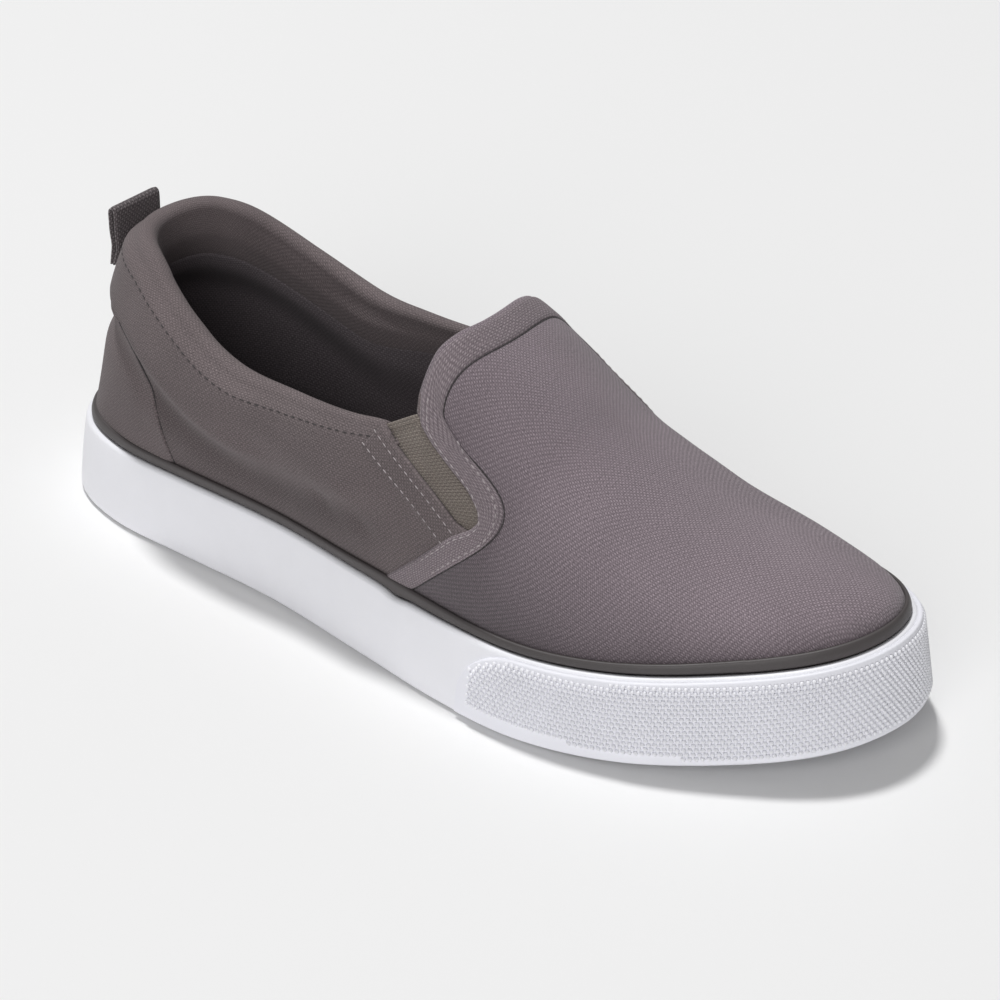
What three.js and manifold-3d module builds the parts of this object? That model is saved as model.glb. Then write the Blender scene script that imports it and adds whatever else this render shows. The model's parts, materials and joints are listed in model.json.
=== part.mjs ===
// A right slip-on sneaker in canvas on a vulcanised rubber sole, modelled as a shoemaker assembles it.
// Millimetres. +X points to the toe, +Y to the inner side of the foot, +Z up, and the floor is Z = 0.
// Every form comes from one last surface, worked out from the named sizes and the short tables below.
import * as THREE from "three";
import { mergeVertices } from "three/addons/utils/BufferGeometryUtils.js";
import Module from "manifold-3d";

const wasm = await Module();
wasm.setup();

// Lengths and widths of the whole shoe
const soleLength = 262;
const ballWidth = 94;
const heelRadius = 36; // of the sole's outline, seen from above
const toeRadius = 33;
const toeSpring = 8; // how far the tip of the sole stands off the floor
const springStart = 0.66; // share of the length where the toe begins to lift
const seamGap = 0.3; // between two glued or sewn pieces

// Sidewall
const foxingHeight = 21.8; // of the white sidewall at the heel
const foxingRise = 2.6; // how much taller the sidewall is at the toe
const riseStart = 0.55; // share of the length where it begins to grow taller
const foxingThickness = 2.2;
const sidewallDraft = 3; // how far the sidewall leans in from its foot to its top
const sidewallFoot = 0.6; // the sidewall's lower edge stands this far off the floor
const edgeRound = 1;
const bumperStart = 0.632; // share of the length where the toe bumper ends on each side
const bumperThickness = 0.6;
const bumperRound = 0.36; // at the bumper's upper and lower edges
const bumperMargin = 0.9; // plain sidewall left above the bumper
const bumperEndHeight = 8; // how high its ends stand upright before they curve forwards
const bumperCorner = 20; // how far along the sidewall that curve runs
const stripeHeight = 3.2;
const stripeThickness = 1.5;
const stripeRound = 0.6;

// Bottom and inside
const outsoleThickness = 9;
const insoleThickness = 3.2;
const treadPitch = 9;
const treadGroove = 2;
const treadDepth = 1.4;
const treadBend = 5; // how far each groove points forward in the middle
const treadBorder = 11; // plain sole left round the grooves

// Upper
const instepHeight = 90; // of the vamp's top edge above the floor
const heelHeight = 83; // of the collar at the back seam
const toeTipRadius = 11; // of the vamp's rounding at the toe, seen from the side
const clothThickness = 2;
const padThickness = 9; // of the padded collar
const padRim = 6.1; // of the padded collar at its very edge
const padDepth = 24; // how far the padding reaches below the collar's edge
const padSwell = 5; // how far below the edge the padding has filled out
const padFade = 6; // over which it thins out again at its lower end
const padPuff = 0.7; // how far the padding stands proud of the quarter
const quarterFlare = 4.5; // how far the quarters bulge out over the sidewall
const flareRise = 26; // height above the sidewall at which they do so most
const flareStart = 0.02; // shares of the length between which the flare grows
const flareFull = 0.3;
const collarTuck = 2; // how far the quarters come in again from there to the collar
const tuckRise = 22;
const quarterFull = 0.42; // shares of the length between which the quarter passes into the vamp
const quarterEnd = 0.6;
const heelLean = 15.5; // how far the collar stands forward of the heel's foot
const leanReach = 0.4; // share of the length over which the lean fades
const leanCurve = 0.85; // below 1, the back of the heel is steeper towards the collar
const fanStart = 0.4; // shares of the length between which the cloth's rows fan out over the toe
const fanFull = 0.62;

// Sewn parts
const overlayThickness = 0.7; // of a facing or a counter laid over the cloth
const facingWidth = 7.5; // of the band round the gores and over the instep
const goreThickness = 1.1;
const goreRecess = 0.6; // how far the elastic lies below the cloth beside it
const loopWidth = 17.5;
const loopThickness = 0.8; // of one ply of the webbing
const loopGap = 1.3; // between its two plies
const loopFoot = 64; // height above the floor where the webbing is sewn on
const loopSewn = 5; // how much of it is sewn flat
const loopTop = 81.5;

// The sole's outline: shares of the sole's length, and of the ball's width.
const outlineRows = [
  { at: 0.12, half: 0.3475, middle: 0 },
  { at: 0.22, half: 0.3685, middle: -0.001 },
  { at: 0.35, half: 0.358, middle: -0.029 },
  { at: 0.48, half: 0.384, middle: -0.06 },
  { at: 0.6, half: 0.456, middle: -0.043 },
  { at: 0.7, half: 0.5, middle: -0.015 },
  { at: 0.8, half: 0.476, middle: 0.016 },
  { at: 0.9, half: 0.364, middle: 0.047 },
  { at: 1, half: 0, middle: 0.08 },
];

// The last above the sidewall: rise is the ridge's height over it as a share of the instep's, ridge
// the ridge line's place across as a share of the ball's width, wide and tall the section's fullness.
// Behind the instep the ridge is only the shape's guide, because the collar opens below it.
const lastRows = [
  { at: 0, rise: 1.9, ridge: 0, wide: 2.6, tall: 2.6 },
  { at: 0.3, rise: 1.62, ridge: -0.03, wide: 2.6, tall: 2.6 },
  { at: 0.45, rise: 1.27, ridge: -0.09, wide: 2.5, tall: 2.6 },
  { at: 0.56, rise: 1, ridge: -0.11, wide: 2.5, tall: 2.7 },
  { at: 0.65, rise: 0.72, ridge: -0.08, wide: 2.1, tall: 2.05 },
  { at: 0.75, rise: 0.455, ridge: -0.035, wide: 1.95, tall: 1.85 },
  { at: 0.85, rise: 0.3, ridge: 0.015, wide: 1.95, tall: 1.85 },
  { at: 0.93, rise: 0.205, ridge: 0.05, wide: 2, tall: 1.9 },
  { at: 1, rise: 0, ridge: 0.08, wide: 2, tall: 1.9 },
];

// The collar's edge from the back seam to the gore: height as a share of the heel's height.
const collarRows = [
  { at: 0, height: 1 },
  { at: 0.05, height: 0.99 },
  { at: 0.1, height: 0.96 },
  { at: 0.15, height: 0.905 },
  { at: 0.2, height: 0.845 },
  { at: 0.25, height: 0.795 },
  { at: 0.3, height: 0.765 },
  { at: 0.38, height: 0.765 },
  { at: 0.46, height: 0.785 },
  { at: 0.515, height: 0.81 },
];

// How much of the collar's padding there is from the heel to the gore.
const padRows = [
  { at: 0.28, amount: 1 },
  { at: 0.37, amount: 0.65 },
  { at: 0.46, amount: 0.3 },
  { at: 0.52, amount: 0 },
];

// The vamp's top edge from the gore to the ridge: across is 1 at the sidewall and 0 on the ridge.
const throatRows = [
  { at: 0.536, across: 0.8 },
  { at: 0.539, across: 0.62 },
  { at: 0.548, across: 0.42 },
  { at: 0.555, across: 0.2 },
  { at: 0.557, across: 0 },
];

// Seen from the side: x as a share of the sole's length, z of the instep's height.
const goreRear = [
  { x: 0.5, z: 0.745 },
  { x: 0.54, z: 0.652 },
  { x: 0.57, z: 0.6 },
  { x: 0.598, z: 0.545 },
];
const goreFront = [
  { x: 0.537, z: 0.783 },
  { x: 0.56, z: 0.73 },
  { x: 0.585, z: 0.677 },
  { x: 0.606, z: 0.632 },
  { x: 0.621, z: 0.585 },
  { x: 0.625, z: 0.555 },
  { x: 0.618, z: 0.53 },
];
const throatSide = [
  { x: 0.575, z: 1.1 },
  { x: 0.556, z: 0.99 },
  { x: 0.546, z: 0.93 },
  { x: 0.539, z: 0.86 },
];
const vampSeam = [
  { x: 0.603, z: 0.505 },
  { x: 0.56, z: 0.385 },
  { x: 0.51, z: 0.25 },
  { x: 0.48, z: 0.16 },
];
const counterSeam = [
  { x: 0.1, z: 0.68 },
  { x: 0.13, z: 0.66 },
  { x: 0.15, z: 0.61 },
  { x: 0.179, z: 0.503 },
  { x: 0.194, z: 0.4 },
  { x: 0.207, z: 0.271 },
  { x: 0.212, z: 0.16 },
];

const clamp = THREE.MathUtils.clamp;
const smooth = (low, high, value) => THREE.MathUtils.smoothstep(value, low, high);

// A smooth curve through the rows of a table. It leaves and arrives level where it is told to.
function curveThrough(xs, ys, level = false) {
  const bends = ys.slice(1).map((y, i) => (y - ys[i]) / (xs[i + 1] - xs[i]));
  const last = bends.length - 1;
  const slopes = ys.map((y, i) => {
    if (i === 0 || i > last) return 0;
    const [before, after] = [xs[i] - xs[i - 1], xs[i + 1] - xs[i]];
    return (bends[i - 1] * after + bends[i] * before) / (before + after);
  });
  if (!level) {
    slopes[0] = 2 * bends[0] - slopes[1];
    slopes[last + 1] = 2 * bends[last] - slopes[last];
  }
  return (x) => {
    let i = 0;
    while (i < last && x > xs[i + 1]) i += 1;
    const width = xs[i + 1] - xs[i];
    const t = clamp((x - xs[i]) / width, 0, 1);
    const a = (slopes[i] - bends[i]) * width;
    const b = (bends[i] - slopes[i + 1]) * width;
    return ys[i] + (ys[i + 1] - ys[i]) * t + t * (1 - t) * (a * (1 - t) + b * t);
  };
}

// Stations run as an angle from 0 at the heel to PI at the toe, so that both ends come out round.
const stationOf = (at) => Math.acos(1 - 2 * clamp(at, 0, 1));
const shareOf = (station) => (1 - Math.cos(station)) / 2;
const column = (rows, key) => rows.map((row) => row[key]);
const tracked = (rows, key) => curveThrough(rows.map((row) => stationOf(row.at)), column(rows, key), true);

const outlineStations = [0, ...outlineRows.map((row) => stationOf(row.at))];
const halfWidth = curveThrough(outlineStations, [
  Math.sqrt((heelRadius * soleLength) / 2),
  ...outlineRows.slice(0, -1).map((row) => (row.half * ballWidth) / Math.sin(stationOf(row.at))),
  Math.sqrt((toeRadius * soleLength) / 2),
], true);
const middleLine = curveThrough(outlineStations, [0, ...column(outlineRows, "middle")], true);

// Once round the shoe: 0 at the back of the heel, PI at the toe, the outer side first.
const stationAt = (turn) => Math.PI - Math.abs(Math.PI - turn);
const sideAt = (turn) => (turn < Math.PI ? -1 : 1);

function soleOutline(turn) {
  const wrapped = (turn + 2 * Math.PI) % (2 * Math.PI);
  const station = stationAt(wrapped);
  const half = Math.sin(station) * halfWidth(station);
  return new THREE.Vector2(
    soleLength * shareOf(station),
    middleLine(station) * ballWidth + sideAt(wrapped) * half,
  );
}

function outwardAt(turn) {
  const step = 0.01;
  const along = soleOutline(turn + step).sub(soleOutline(turn - step)).normalize();
  return new THREE.Vector2(along.y, -along.x);
}

const insetOutline = (turn, inset) => soleOutline(turn).addScaledVector(outwardAt(turn), -inset);

const lift = (x) => toeSpring * clamp((x / soleLength - springStart) / (1 - springStart), 0, 1) ** 2;
const wallHeight = (x) => foxingHeight + foxingRise * smooth(riseStart, 1, x / soleLength);
const wallTop = (turn) => wallHeight(soleOutline(turn).x);
const wallInset = (height) => (sidewallDraft * height) / foxingHeight;

// A point of the sidewall's nested layers: depth inwards from its outer face, height over the sole's foot.
function wallPoint(turn, depth, height) {
  const flat = insetOutline(turn, wallInset(height) + depth);
  return new THREE.Vector3(flat.x, flat.y, lift(flat.x) + height);
}

const upperDepth = foxingThickness + seamGap;
const ridgeRise = (() => {
  const front = (station) => Math.sin(Math.max(station, Math.PI / 2));
  const instepRise = instepHeight - foxingHeight;
  const full = curveThrough(
    lastRows.map((row) => stationOf(row.at)),
    lastRows.map((row) =>
      row.at < 1
        ? (row.rise * instepRise) / front(stationOf(row.at))
        : Math.sqrt((toeTipRadius * soleLength) / 2),
    ),
  );
  return (station) => front(station) * full(station);
})();
const ridgeLine = tracked(lastRows, "ridge");
const sectionWide = tracked(lastRows, "wide");
const sectionTall = tracked(lastRows, "tall");

// The last's surface: turn says where round the sidewall, climb runs from 0 there to 1 on the ridge.
function lastPoint(turn, climb) {
  const station = stationAt(turn);
  const foot = wallPoint(turn, upperDepth, wallTop(turn));
  const ridgeY = ridgeLine(station) * ballWidth;
  const angle = (climb * Math.PI) / 2;
  const across = Math.cos(angle) ** (2 / sectionWide(station));
  const up = Math.sin(angle) ** (2 / sectionTall(station));
  const point = new THREE.Vector3(
    foot.x,
    ridgeY + (foot.y - ridgeY) * across,
    foot.z + ridgeRise(station) * up,
  );
  const height = Math.max(point.z - foot.z, 0);
  const outward = outwardAt(turn);
  const share = shareOf(station);
  const flare = quarterFlare * smooth(flareStart, flareFull, share);
  const bulgeOut = flare * Math.sin((Math.PI / 2) * Math.min(height / flareRise, 1));
  const tuckIn = (flare + collarTuck) * (Math.max(height - flareRise, 0) / tuckRise) ** 2;
  const bulge = (1 - smooth(quarterFull, quarterEnd, share)) * across ** 2 * (bulgeOut - tuckIn);
  const lean = heelLean * (height / (heelHeight - foxingHeight)) ** leanCurve;
  point.x += outward.x * bulge + lean * (1 - smooth(0, leanReach, share));
  point.y += outward.y * bulge;
  return point;
}

// The same surface laid flat as a half disc with the toe's tip in its middle and the heel on its rim.
const toFlat = (station, climb) =>
  new THREE.Vector2(
    (Math.PI - station) * Math.cos((climb * Math.PI) / 2),
    (Math.PI - station) * Math.sin((climb * Math.PI) / 2),
  );

function fromFlat(flat, side) {
  const station = Math.PI - Math.min(flat.length(), Math.PI);
  const climb = Math.atan2(flat.y, Math.max(flat.x, 0)) / (Math.PI / 2);
  return lastPoint(side < 0 ? station : 2 * Math.PI - station, climb);
}

// The climb at which the last reaches a height above the floor.
function climbAtHeight(turn, height) {
  const halvings = 30;
  let low = 0;
  let high = 1;
  for (let i = 0; i < halvings; i += 1) {
    const middle = (low + high) / 2;
    if (lastPoint(turn, middle).z < height) low = middle;
    else high = middle;
  }
  return (low + high) / 2;
}

const climbAcross = (station, across) => Math.acos(across ** (sectionWide(station) / 2)) / (Math.PI / 2);

const collarEnd = collarRows[collarRows.length - 1].at;
const collarHeight = tracked(collarRows, "height");
const throatAt = curveThrough([...throatRows.keys()], column(throatRows, "at"));
const throatAcross = curveThrough([...throatRows.keys()], column(throatRows, "across"));

// Where the meridian that starts at a station of the sidewall meets the opening's edge, laid flat.
function edgeFlat(turn) {
  const station = stationAt(turn);
  const corner = stationOf(collarEnd);
  if (station <= corner) {
    return toFlat(station, climbAtHeight(turn, collarHeight(station) * heelHeight));
  }
  const along = ((station - corner) / (Math.PI - corner)) * (throatRows.length - 1);
  const edgeStation = stationOf(throatAt(along));
  return toFlat(edgeStation, climbAcross(edgeStation, clamp(throatAcross(along), 0, 1)));
}

// One meridian from the sidewall to the opening's edge: straight up at the heel, fanned out over the toe.
function meridian(turn, steps = 48) {
  const station = stationAt(turn);
  const side = sideAt(turn);
  const start = toFlat(station, 0);
  const end = edgeFlat(turn);
  const fan = smooth(fanStart, fanFull, shareOf(station));
  const endAngle = Math.atan2(end.y, end.x);
  const points = [];
  for (let i = 0; i <= steps; i += 1) {
    const t = i / steps;
    const radius = start.length() + (end.length() - start.length()) * t;
    const turned = new THREE.Vector2(Math.cos(endAngle * t), Math.sin(endAngle * t));
    const flat = turned.multiplyScalar(radius).lerp(start.clone().lerp(end, t), fan);
    points.push(fromFlat(flat, side));
  }
  return points;
}

// Points along a meridian at distances from its top end, or from its foot when measured upwards.
function pointsAlong(points, distances) {
  const lengths = [0];
  for (let i = 1; i < points.length; i += 1) {
    lengths.push(lengths[i - 1] + points[i].distanceTo(points[i - 1]));
  }
  return distances(lengths[lengths.length - 1]).map((distance) => {
    let i = 1;
    while (i < points.length - 1 && lengths[i] < distance) i += 1;
    const t = (distance - lengths[i - 1]) / (lengths[i] - lengths[i - 1]);
    return points[i - 1].clone().lerp(points[i], t);
  });
}

// Outward normals of a grid that closes on itself in its first direction.
function gridNormals(grid) {
  return grid.map((line, i) =>
    line.map((point, j) => {
      const next = grid[(i + 1) % grid.length][j];
      const before = grid[(i + grid.length - 1) % grid.length][j];
      const above = line[Math.min(j + 1, line.length - 1)];
      const below = line[Math.max(j - 1, 0)];
      return next.clone().sub(before).cross(above.clone().sub(below)).normalize();
    }),
  );
}

function geometryOf(positions, triangles) {
  const numbers = positions.flatMap((point) => [point.x, point.y, point.z]);
  const geometry = new THREE.BufferGeometry();
  geometry.setAttribute("position", new THREE.Float32BufferAttribute(numbers, 3));
  geometry.setIndex(triangles.flat());
  return geometry;
}

// A closed body from closed section loops: all the way round, or capped at its two ends. From the
// point called turned onwards the faces are split the other way, to lie even with the layer below.
function loftLoops(loops, closed, turned = Infinity) {
  const size = loops[0].length;
  const positions = loops.flat();
  const triangles = [];
  const spans = closed ? loops.length : loops.length - 1;
  for (let i = 0; i < spans; i += 1) {
    const here = i * size;
    const next = ((i + 1) % loops.length) * size;
    for (let j = 0; j < size; j += 1) {
      const k = (j + 1) % size;
      if (j < turned) triangles.push([here + j, next + j, next + k], [here + j, next + k, here + k]);
      else triangles.push([here + j, next + j, here + k], [next + j, next + k, here + k]);
    }
  }
  if (!closed) {
    const last = (loops.length - 1) * size;
    for (let j = 1; j < size - 1; j += 1) {
      triangles.push([0, j, j + 1], [last, last + j + 1, last + j]);
    }
  }
  return geometryOf(positions, triangles);
}

// A plate between two heights whose edge follows the sidewall's inside.
function plateGeometry(depth, low, high, stations = turnCount / 2) {
  const positions = [];
  const triangles = [];
  const ring = (height) => {
    const first = positions.length;
    for (let i = 0; i < 2 * stations; i += 1) {
      positions.push(wallPoint((i * Math.PI) / stations, depth, height));
    }
    return first;
  };
  const bottom = ring(low);
  const top = ring(high);
  const count = 2 * stations;
  for (let i = 0; i < count; i += 1) {
    const next = (i + 1) % count;
    triangles.push([bottom + i, bottom + next, top + next], [bottom + i, top + next, top + i]);
  }
  for (let i = 0; i < stations; i += 1) {
    const [outer, outerNext] = [i, i + 1];
    const [inner, innerNext] = [(count - i) % count, count - i - 1];
    if (i < stations - 1) {
      triangles.push([top + outer, top + outerNext, top + innerNext]);
      triangles.push([bottom + outer, bottom + innerNext, bottom + outerNext]);
    }
    if (i > 0) {
      triangles.push([top + outer, top + innerNext, top + inner]);
      triangles.push([bottom + outer, bottom + inner, bottom + innerNext]);
    }
  }
  return geometryOf(positions, triangles);
}

// Solids for cutting and joining
function solidOf(geometry) {
  const mergeDistance = 1e-3;
  const bare = new THREE.BufferGeometry();
  bare.setAttribute("position", geometry.getAttribute("position"));
  bare.setIndex(geometry.index);
  const merged = mergeVertices(bare, mergeDistance);
  return new wasm.Manifold(
    new wasm.Mesh({
      numProp: 3,
      vertProperties: new Float32Array(merged.attributes.position.array),
      triVerts: new Uint32Array(merged.index.array),
    }),
  );
}

function geometryFrom(solid) {
  const mesh = solid.getMesh();
  const geometry = new THREE.BufferGeometry();
  geometry.setAttribute("position", new THREE.Float32BufferAttribute(mesh.vertProperties, 3));
  geometry.setIndex(new THREE.Uint32BufferAttribute(mesh.triVerts, 1));
  return geometry;
}

const turnCount = 80;
const turns = Array.from({ length: turnCount }, (_, i) => (i * 2 * Math.PI) / turnCount);

// The collar's padding beside a turn, its section down from the edge, and the rim that it makes
const padTrack = tracked(padRows, "amount");
const padAmount = (turn) => clamp(padTrack(stationAt(turn)), 0, 1);
function padShape(distance) {
  return smooth(0, padSwell, distance) * (1 - smooth(padDepth - padFade, padDepth, distance));
}
const rimThickness = (turn) => clothThickness + (padRim - clothThickness) * padAmount(turn);

// The upper's outer skin: a meridian for each turn, its rows shared by every layer that lies on it.
const stripeTop = stripeHeight + 2 * seamGap;
const skin = (() => {
  const lowerShares = [0.08, 0.2, 0.38, 0.58, 0.8];
  const fromEdge = [1, 0.72, 0.38, 0.12, 0].map((share) => share * padDepth);
  const grid = turns.map((turn) =>
    pointsAlong(meridian(turn), (total) => {
      const usable = total - rimThickness(turn) / 2;
      const squeeze = Math.min(1, usable / (2 * padDepth));
      const upper = fromEdge.map((distance) => usable - distance * squeeze);
      const lower = lowerShares.map((share) => stripeTop + (upper[0] - stripeTop) * share);
      return [0, stripeTop, ...lower, ...upper];
    }),
  );
  const normals = gridNormals(grid);
  return turns.map((turn, i) => {
    const edge = grid[i][grid[i].length - 1];
    return grid[i].map((point, j) => {
      const distance = point.distanceTo(edge);
      const pad = padShape(distance) * padAmount(turn);
      return {
        point: point.clone().addScaledVector(normals[i][j], padPuff * pad),
        normal: normals[i][j],
        distance,
        pad,
      };
    });
  });
})();
const offset = (spot, out) => spot.point.clone().addScaledVector(spot.normal, out);

// The upper's wall as section loops: up its outside from the sole, over the rim and down its inside.
function upperLoops() {
  const foot = outsoleThickness + seamGap;
  return turns.map((turn, i) => {
    const rimExtra = rimThickness(turn) - clothThickness;
    const outer = skin[i].map((spot) => spot.point);
    const inner = skin[i].map((spot) => {
      const rim = rimExtra * (1 - smooth(0, padSwell, spot.distance));
      return offset(spot, -clothThickness - (padThickness - clothThickness) * spot.pad - rim);
    });
    const top = outer.length - 1;
    const tangent = outer[top].clone().sub(outer[top - 1]).normalize();
    const centre = outer[top].clone().lerp(inner[top], 0.5);
    const across = outer[top].clone().sub(centre);
    const rim = [0.25, 0.5, 0.75].map((share) =>
      centre
        .clone()
        .addScaledVector(across, Math.cos(share * Math.PI))
        .addScaledVector(tangent, across.length() * Math.sin(share * Math.PI)),
    );
    return [
      wallPoint(turn, upperDepth, foot),
      ...outer,
      ...rim,
      ...inner.reverse(),
      wallPoint(turn, upperDepth + clothThickness, foot),
    ];
  });
}

// A layer that lies on the upper's skin, from the stripe to the rim.
function layer(low, high) {
  const rows = skin.map((line) => line.slice(1));
  const loops = rows.map((line) => [
    ...line.map((spot) => offset(spot, high)),
    ...line.map((spot) => offset(spot, low)).reverse(),
  ]);
  return solidOf(loftLoops(loops, true, rows[0].length));
}

// Shapes seen from the side, as prisms that cut across the shoe
const sidePoints = (rows) => rows.map((row) => new THREE.Vector2(row.x * soleLength, row.z * instepHeight));

function prism(points, fromY, toY) {
  const settings = { depth: toY - fromY, bevelEnabled: false };
  const geometry = new THREE.ExtrudeGeometry(new THREE.Shape(points), settings);
  geometry.rotateX(Math.PI / 2);
  geometry.translate(0, toY, 0);
  return solidOf(indexed(geometry));
}

function indexed(geometry) {
  const mergeDistance = 1e-4;
  geometry.deleteAttribute("normal");
  geometry.deleteAttribute("uv");
  return mergeVertices(geometry, mergeDistance);
}

// A path moved sideways by a small clearance, point by point.
function trimmedPath(points, distance) {
  return points.map((point, i) => {
    const before = points[Math.max(i - 1, 0)];
    const after = points[Math.min(i + 1, points.length - 1)];
    const along = after.clone().sub(before).normalize();
    return point.clone().add(new THREE.Vector2(-along.y, along.x).multiplyScalar(distance));
  });
}

// A band of even width along both sides of a path, with round corners, cut right across the shoe.
function bandAlong(points, width) {
  const discSteps = 6;
  const parts = points.map((point) => {
    const disc = new THREE.Path().absarc(point.x, point.y, width, 0, 2 * Math.PI).getPoints(discSteps);
    return prism(disc.slice(0, -1), -ballWidth, ballWidth);
  });
  for (let i = 0; i < points.length - 1; i += 1) {
    const along = points[i + 1].clone().sub(points[i]).normalize();
    const side = new THREE.Vector2(-along.y, along.x).multiplyScalar(width);
    const corners = [
      points[i].clone().sub(side),
      points[i + 1].clone().sub(side),
      points[i + 1].clone().add(side),
      points[i].clone().add(side),
    ];
    parts.push(prism(corners, -ballWidth, ballWidth));
  }
  return parts.reduce((whole, part) => whole.add(part));
}

// Everything behind a path that runs from the top down, cut right across the shoe.
function behind(points) {
  const top = new THREE.Vector2(-soleLength, points[0].y);
  const bottom = new THREE.Vector2(-soleLength, points[points.length - 1].y);
  return prism([top, ...points, bottom], -ballWidth, ballWidth);
}

const group = new THREE.Group();
const shoe = new THREE.Group();
group.add(shoe);
const paint = {
  canvas: { color: 0x7b7072, roughness: 0.9 },
  elastic: { color: 0x6f665f, roughness: 0.85 },
  webbing: { color: 0x6a6365, roughness: 0.85 },
  rubber: { color: 0xe6e6ec, roughness: 0.45 },
  stripe: { color: 0x5c5a59, roughness: 0.35 },
  lining: { color: 0x3f393b, roughness: 0.95 },
};

function addPiece(name, geometry, look) {
  const mesh = new THREE.Mesh(geometry, new THREE.MeshStandardMaterial(look));
  mesh.name = name;
  shoe.add(mesh);
}

// Outsole, with grooves that point forward and follow the toe's lift
function grooveCutter(x) {
  const station = stationOf(x / soleLength);
  const half = Math.sin(station) * halfWidth(station) - treadBorder;
  const middle = middleLine(station) * ballWidth;
  const edge = treadGroove / 2;
  const shape = new THREE.Shape([
    new THREE.Vector2(x - edge, middle - half),
    new THREE.Vector2(x + edge, middle - half),
    new THREE.Vector2(x + treadBend + edge, middle),
    new THREE.Vector2(x + edge, middle + half),
    new THREE.Vector2(x - edge, middle + half),
    new THREE.Vector2(x + treadBend - edge, middle),
  ]);
  const height = treadDepth + toeSpring;
  const geometry = new THREE.ExtrudeGeometry(shape, { depth: height, bevelEnabled: false });
  geometry.translate(0, 0, lift(x) + treadDepth - height);
  return solidOf(indexed(geometry));
}
let outsole = solidOf(plateGeometry(upperDepth, 0, outsoleThickness));
const grooveCount = Math.floor((soleLength - 2 * treadBorder - treadBend) / treadPitch);
for (let i = 0; i <= grooveCount; i += 1) {
  outsole = outsole.subtract(grooveCutter(treadBorder + i * treadPitch));
}
addPiece("outsole", geometryFrom(outsole), paint.rubber);

// Insole
const insoleFoot = outsoleThickness + seamGap;
const insoleDepth = upperDepth + clothThickness + seamGap;
addPiece("insole", plateGeometry(insoleDepth, insoleFoot, insoleFoot + insoleThickness), paint.lining);

// Sidewall
const foxingLoops = turns.map((turn) => {
  const top = wallTop(turn);
  return [
    wallPoint(turn, edgeRound, sidewallFoot),
    wallPoint(turn, 0, sidewallFoot + edgeRound),
    wallPoint(turn, 0, top - edgeRound),
    wallPoint(turn, edgeRound, top),
    wallPoint(turn, foxingThickness, top),
    wallPoint(turn, foxingThickness, sidewallFoot),
  ];
});
addPiece("foxing", loftLoops(foxingLoops, true), paint.rubber);

// Toe bumper
function bumperLoops() {
  const start = stationOf(bumperStart);
  const end = 2 * Math.PI - start;
  const cornerTurn = bumperCorner / (soleLength / 2);
  const cornerShares = [0, 0.1, 0.3, 0.6];
  const cleared = 0.7 * cornerTurn;
  const between = turns.filter((turn) => turn > start + cleared && turn < end - cleared);
  const list = [
    ...cornerShares.map((share) => start + share * cornerTurn),
    ...between,
    ...cornerShares.map((share) => end - share * cornerTurn).reverse(),
  ];
  const inner = -seamGap;
  const outer = inner - bumperThickness;
  return list.map((turn) => {
    const run = clamp(Math.min(turn - start, end - turn) / cornerTurn, 0, 1);
    const full = wallTop(turn) - bumperMargin;
    const top = bumperEndHeight + (full - bumperEndHeight) * Math.sqrt(1 - (1 - run) ** 2);
    const low = sidewallFoot + edgeRound;
    return [
      wallPoint(turn, inner, low),
      wallPoint(turn, outer + bumperRound, low),
      wallPoint(turn, outer, low + bumperRound),
      wallPoint(turn, outer, top - bumperRound),
      wallPoint(turn, outer + bumperRound, top),
      wallPoint(turn, inner, top),
    ];
  });
}
addPiece("toe_bumper", loftLoops(bumperLoops(), false), paint.rubber);

// Stripe between the sidewall and the cloth
const stripeLoops = skin.map(([foot, next], i) => {
  const at = (height, out) => offset(foot, out).lerp(offset(next, out), height / stripeTop);
  const seated = (out) => {
    const point = offset(foot, out);
    point.z = lift(point.x) + wallTop(turns[i]) + seamGap;
    return point;
  };
  const outer = seamGap + stripeThickness;
  return [
    seated(seamGap),
    seated(outer - stripeRound),
    at(seamGap + stripeRound, outer),
    at(stripeHeight - stripeRound, outer),
    at(stripeHeight, outer - stripeRound),
    at(stripeHeight, seamGap),
  ];
});
addPiece("foxing_stripe", loftLoops(stripeLoops, true), paint.stripe);

// Upper, with a slot on each side for the elastic
const [slotRear, slotFront] = [sidePoints(goreRear), sidePoints(goreFront)];
const slotShape = [...slotRear, ...[...slotFront].reverse()];
const upper = solidOf(loftLoops(upperLoops(), true)).subtract(prism(slotShape, -ballWidth, ballWidth));
addPiece("upper", geometryFrom(upper), paint.canvas);

// Elastic gores, a little below the cloth and clear of the slot's edges
function goreShape() {
  const rear = trimmedPath(slotRear, seamGap);
  const front = trimmedPath(slotFront, -seamGap);
  return [...rear, ...front.reverse()];
}
const elastic = layer(-goreRecess - goreThickness, -goreRecess);
const gores = {
  gore_outer: elastic.intersect(prism(goreShape(), -ballWidth, 0)),
  gore_inner: elastic.intersect(prism(goreShape(), 0, ballWidth)),
};
Object.entries(gores).forEach(([name, solid]) => addPiece(name, geometryFrom(solid), paint.elastic));

// The facing that binds the vamp's edge: over the instep, round both gores and down to the stripe
const skinLayer = layer(seamGap, seamGap + overlayThickness);
const vampEdge = [...sidePoints(throatSide), ...slotFront, ...sidePoints(vampSeam)];
const facing = skinLayer.intersect(bandAlong(vampEdge, facingWidth)).subtract(behind(vampEdge));
addPiece("throat_facing", geometryFrom(facing), paint.canvas);

// The counter sewn over the back of the heel
const counter = skinLayer.intersect(behind(sidePoints(counterSeam)));
addPiece("heel_counter", geometryFrom(counter), paint.canvas);

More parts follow.
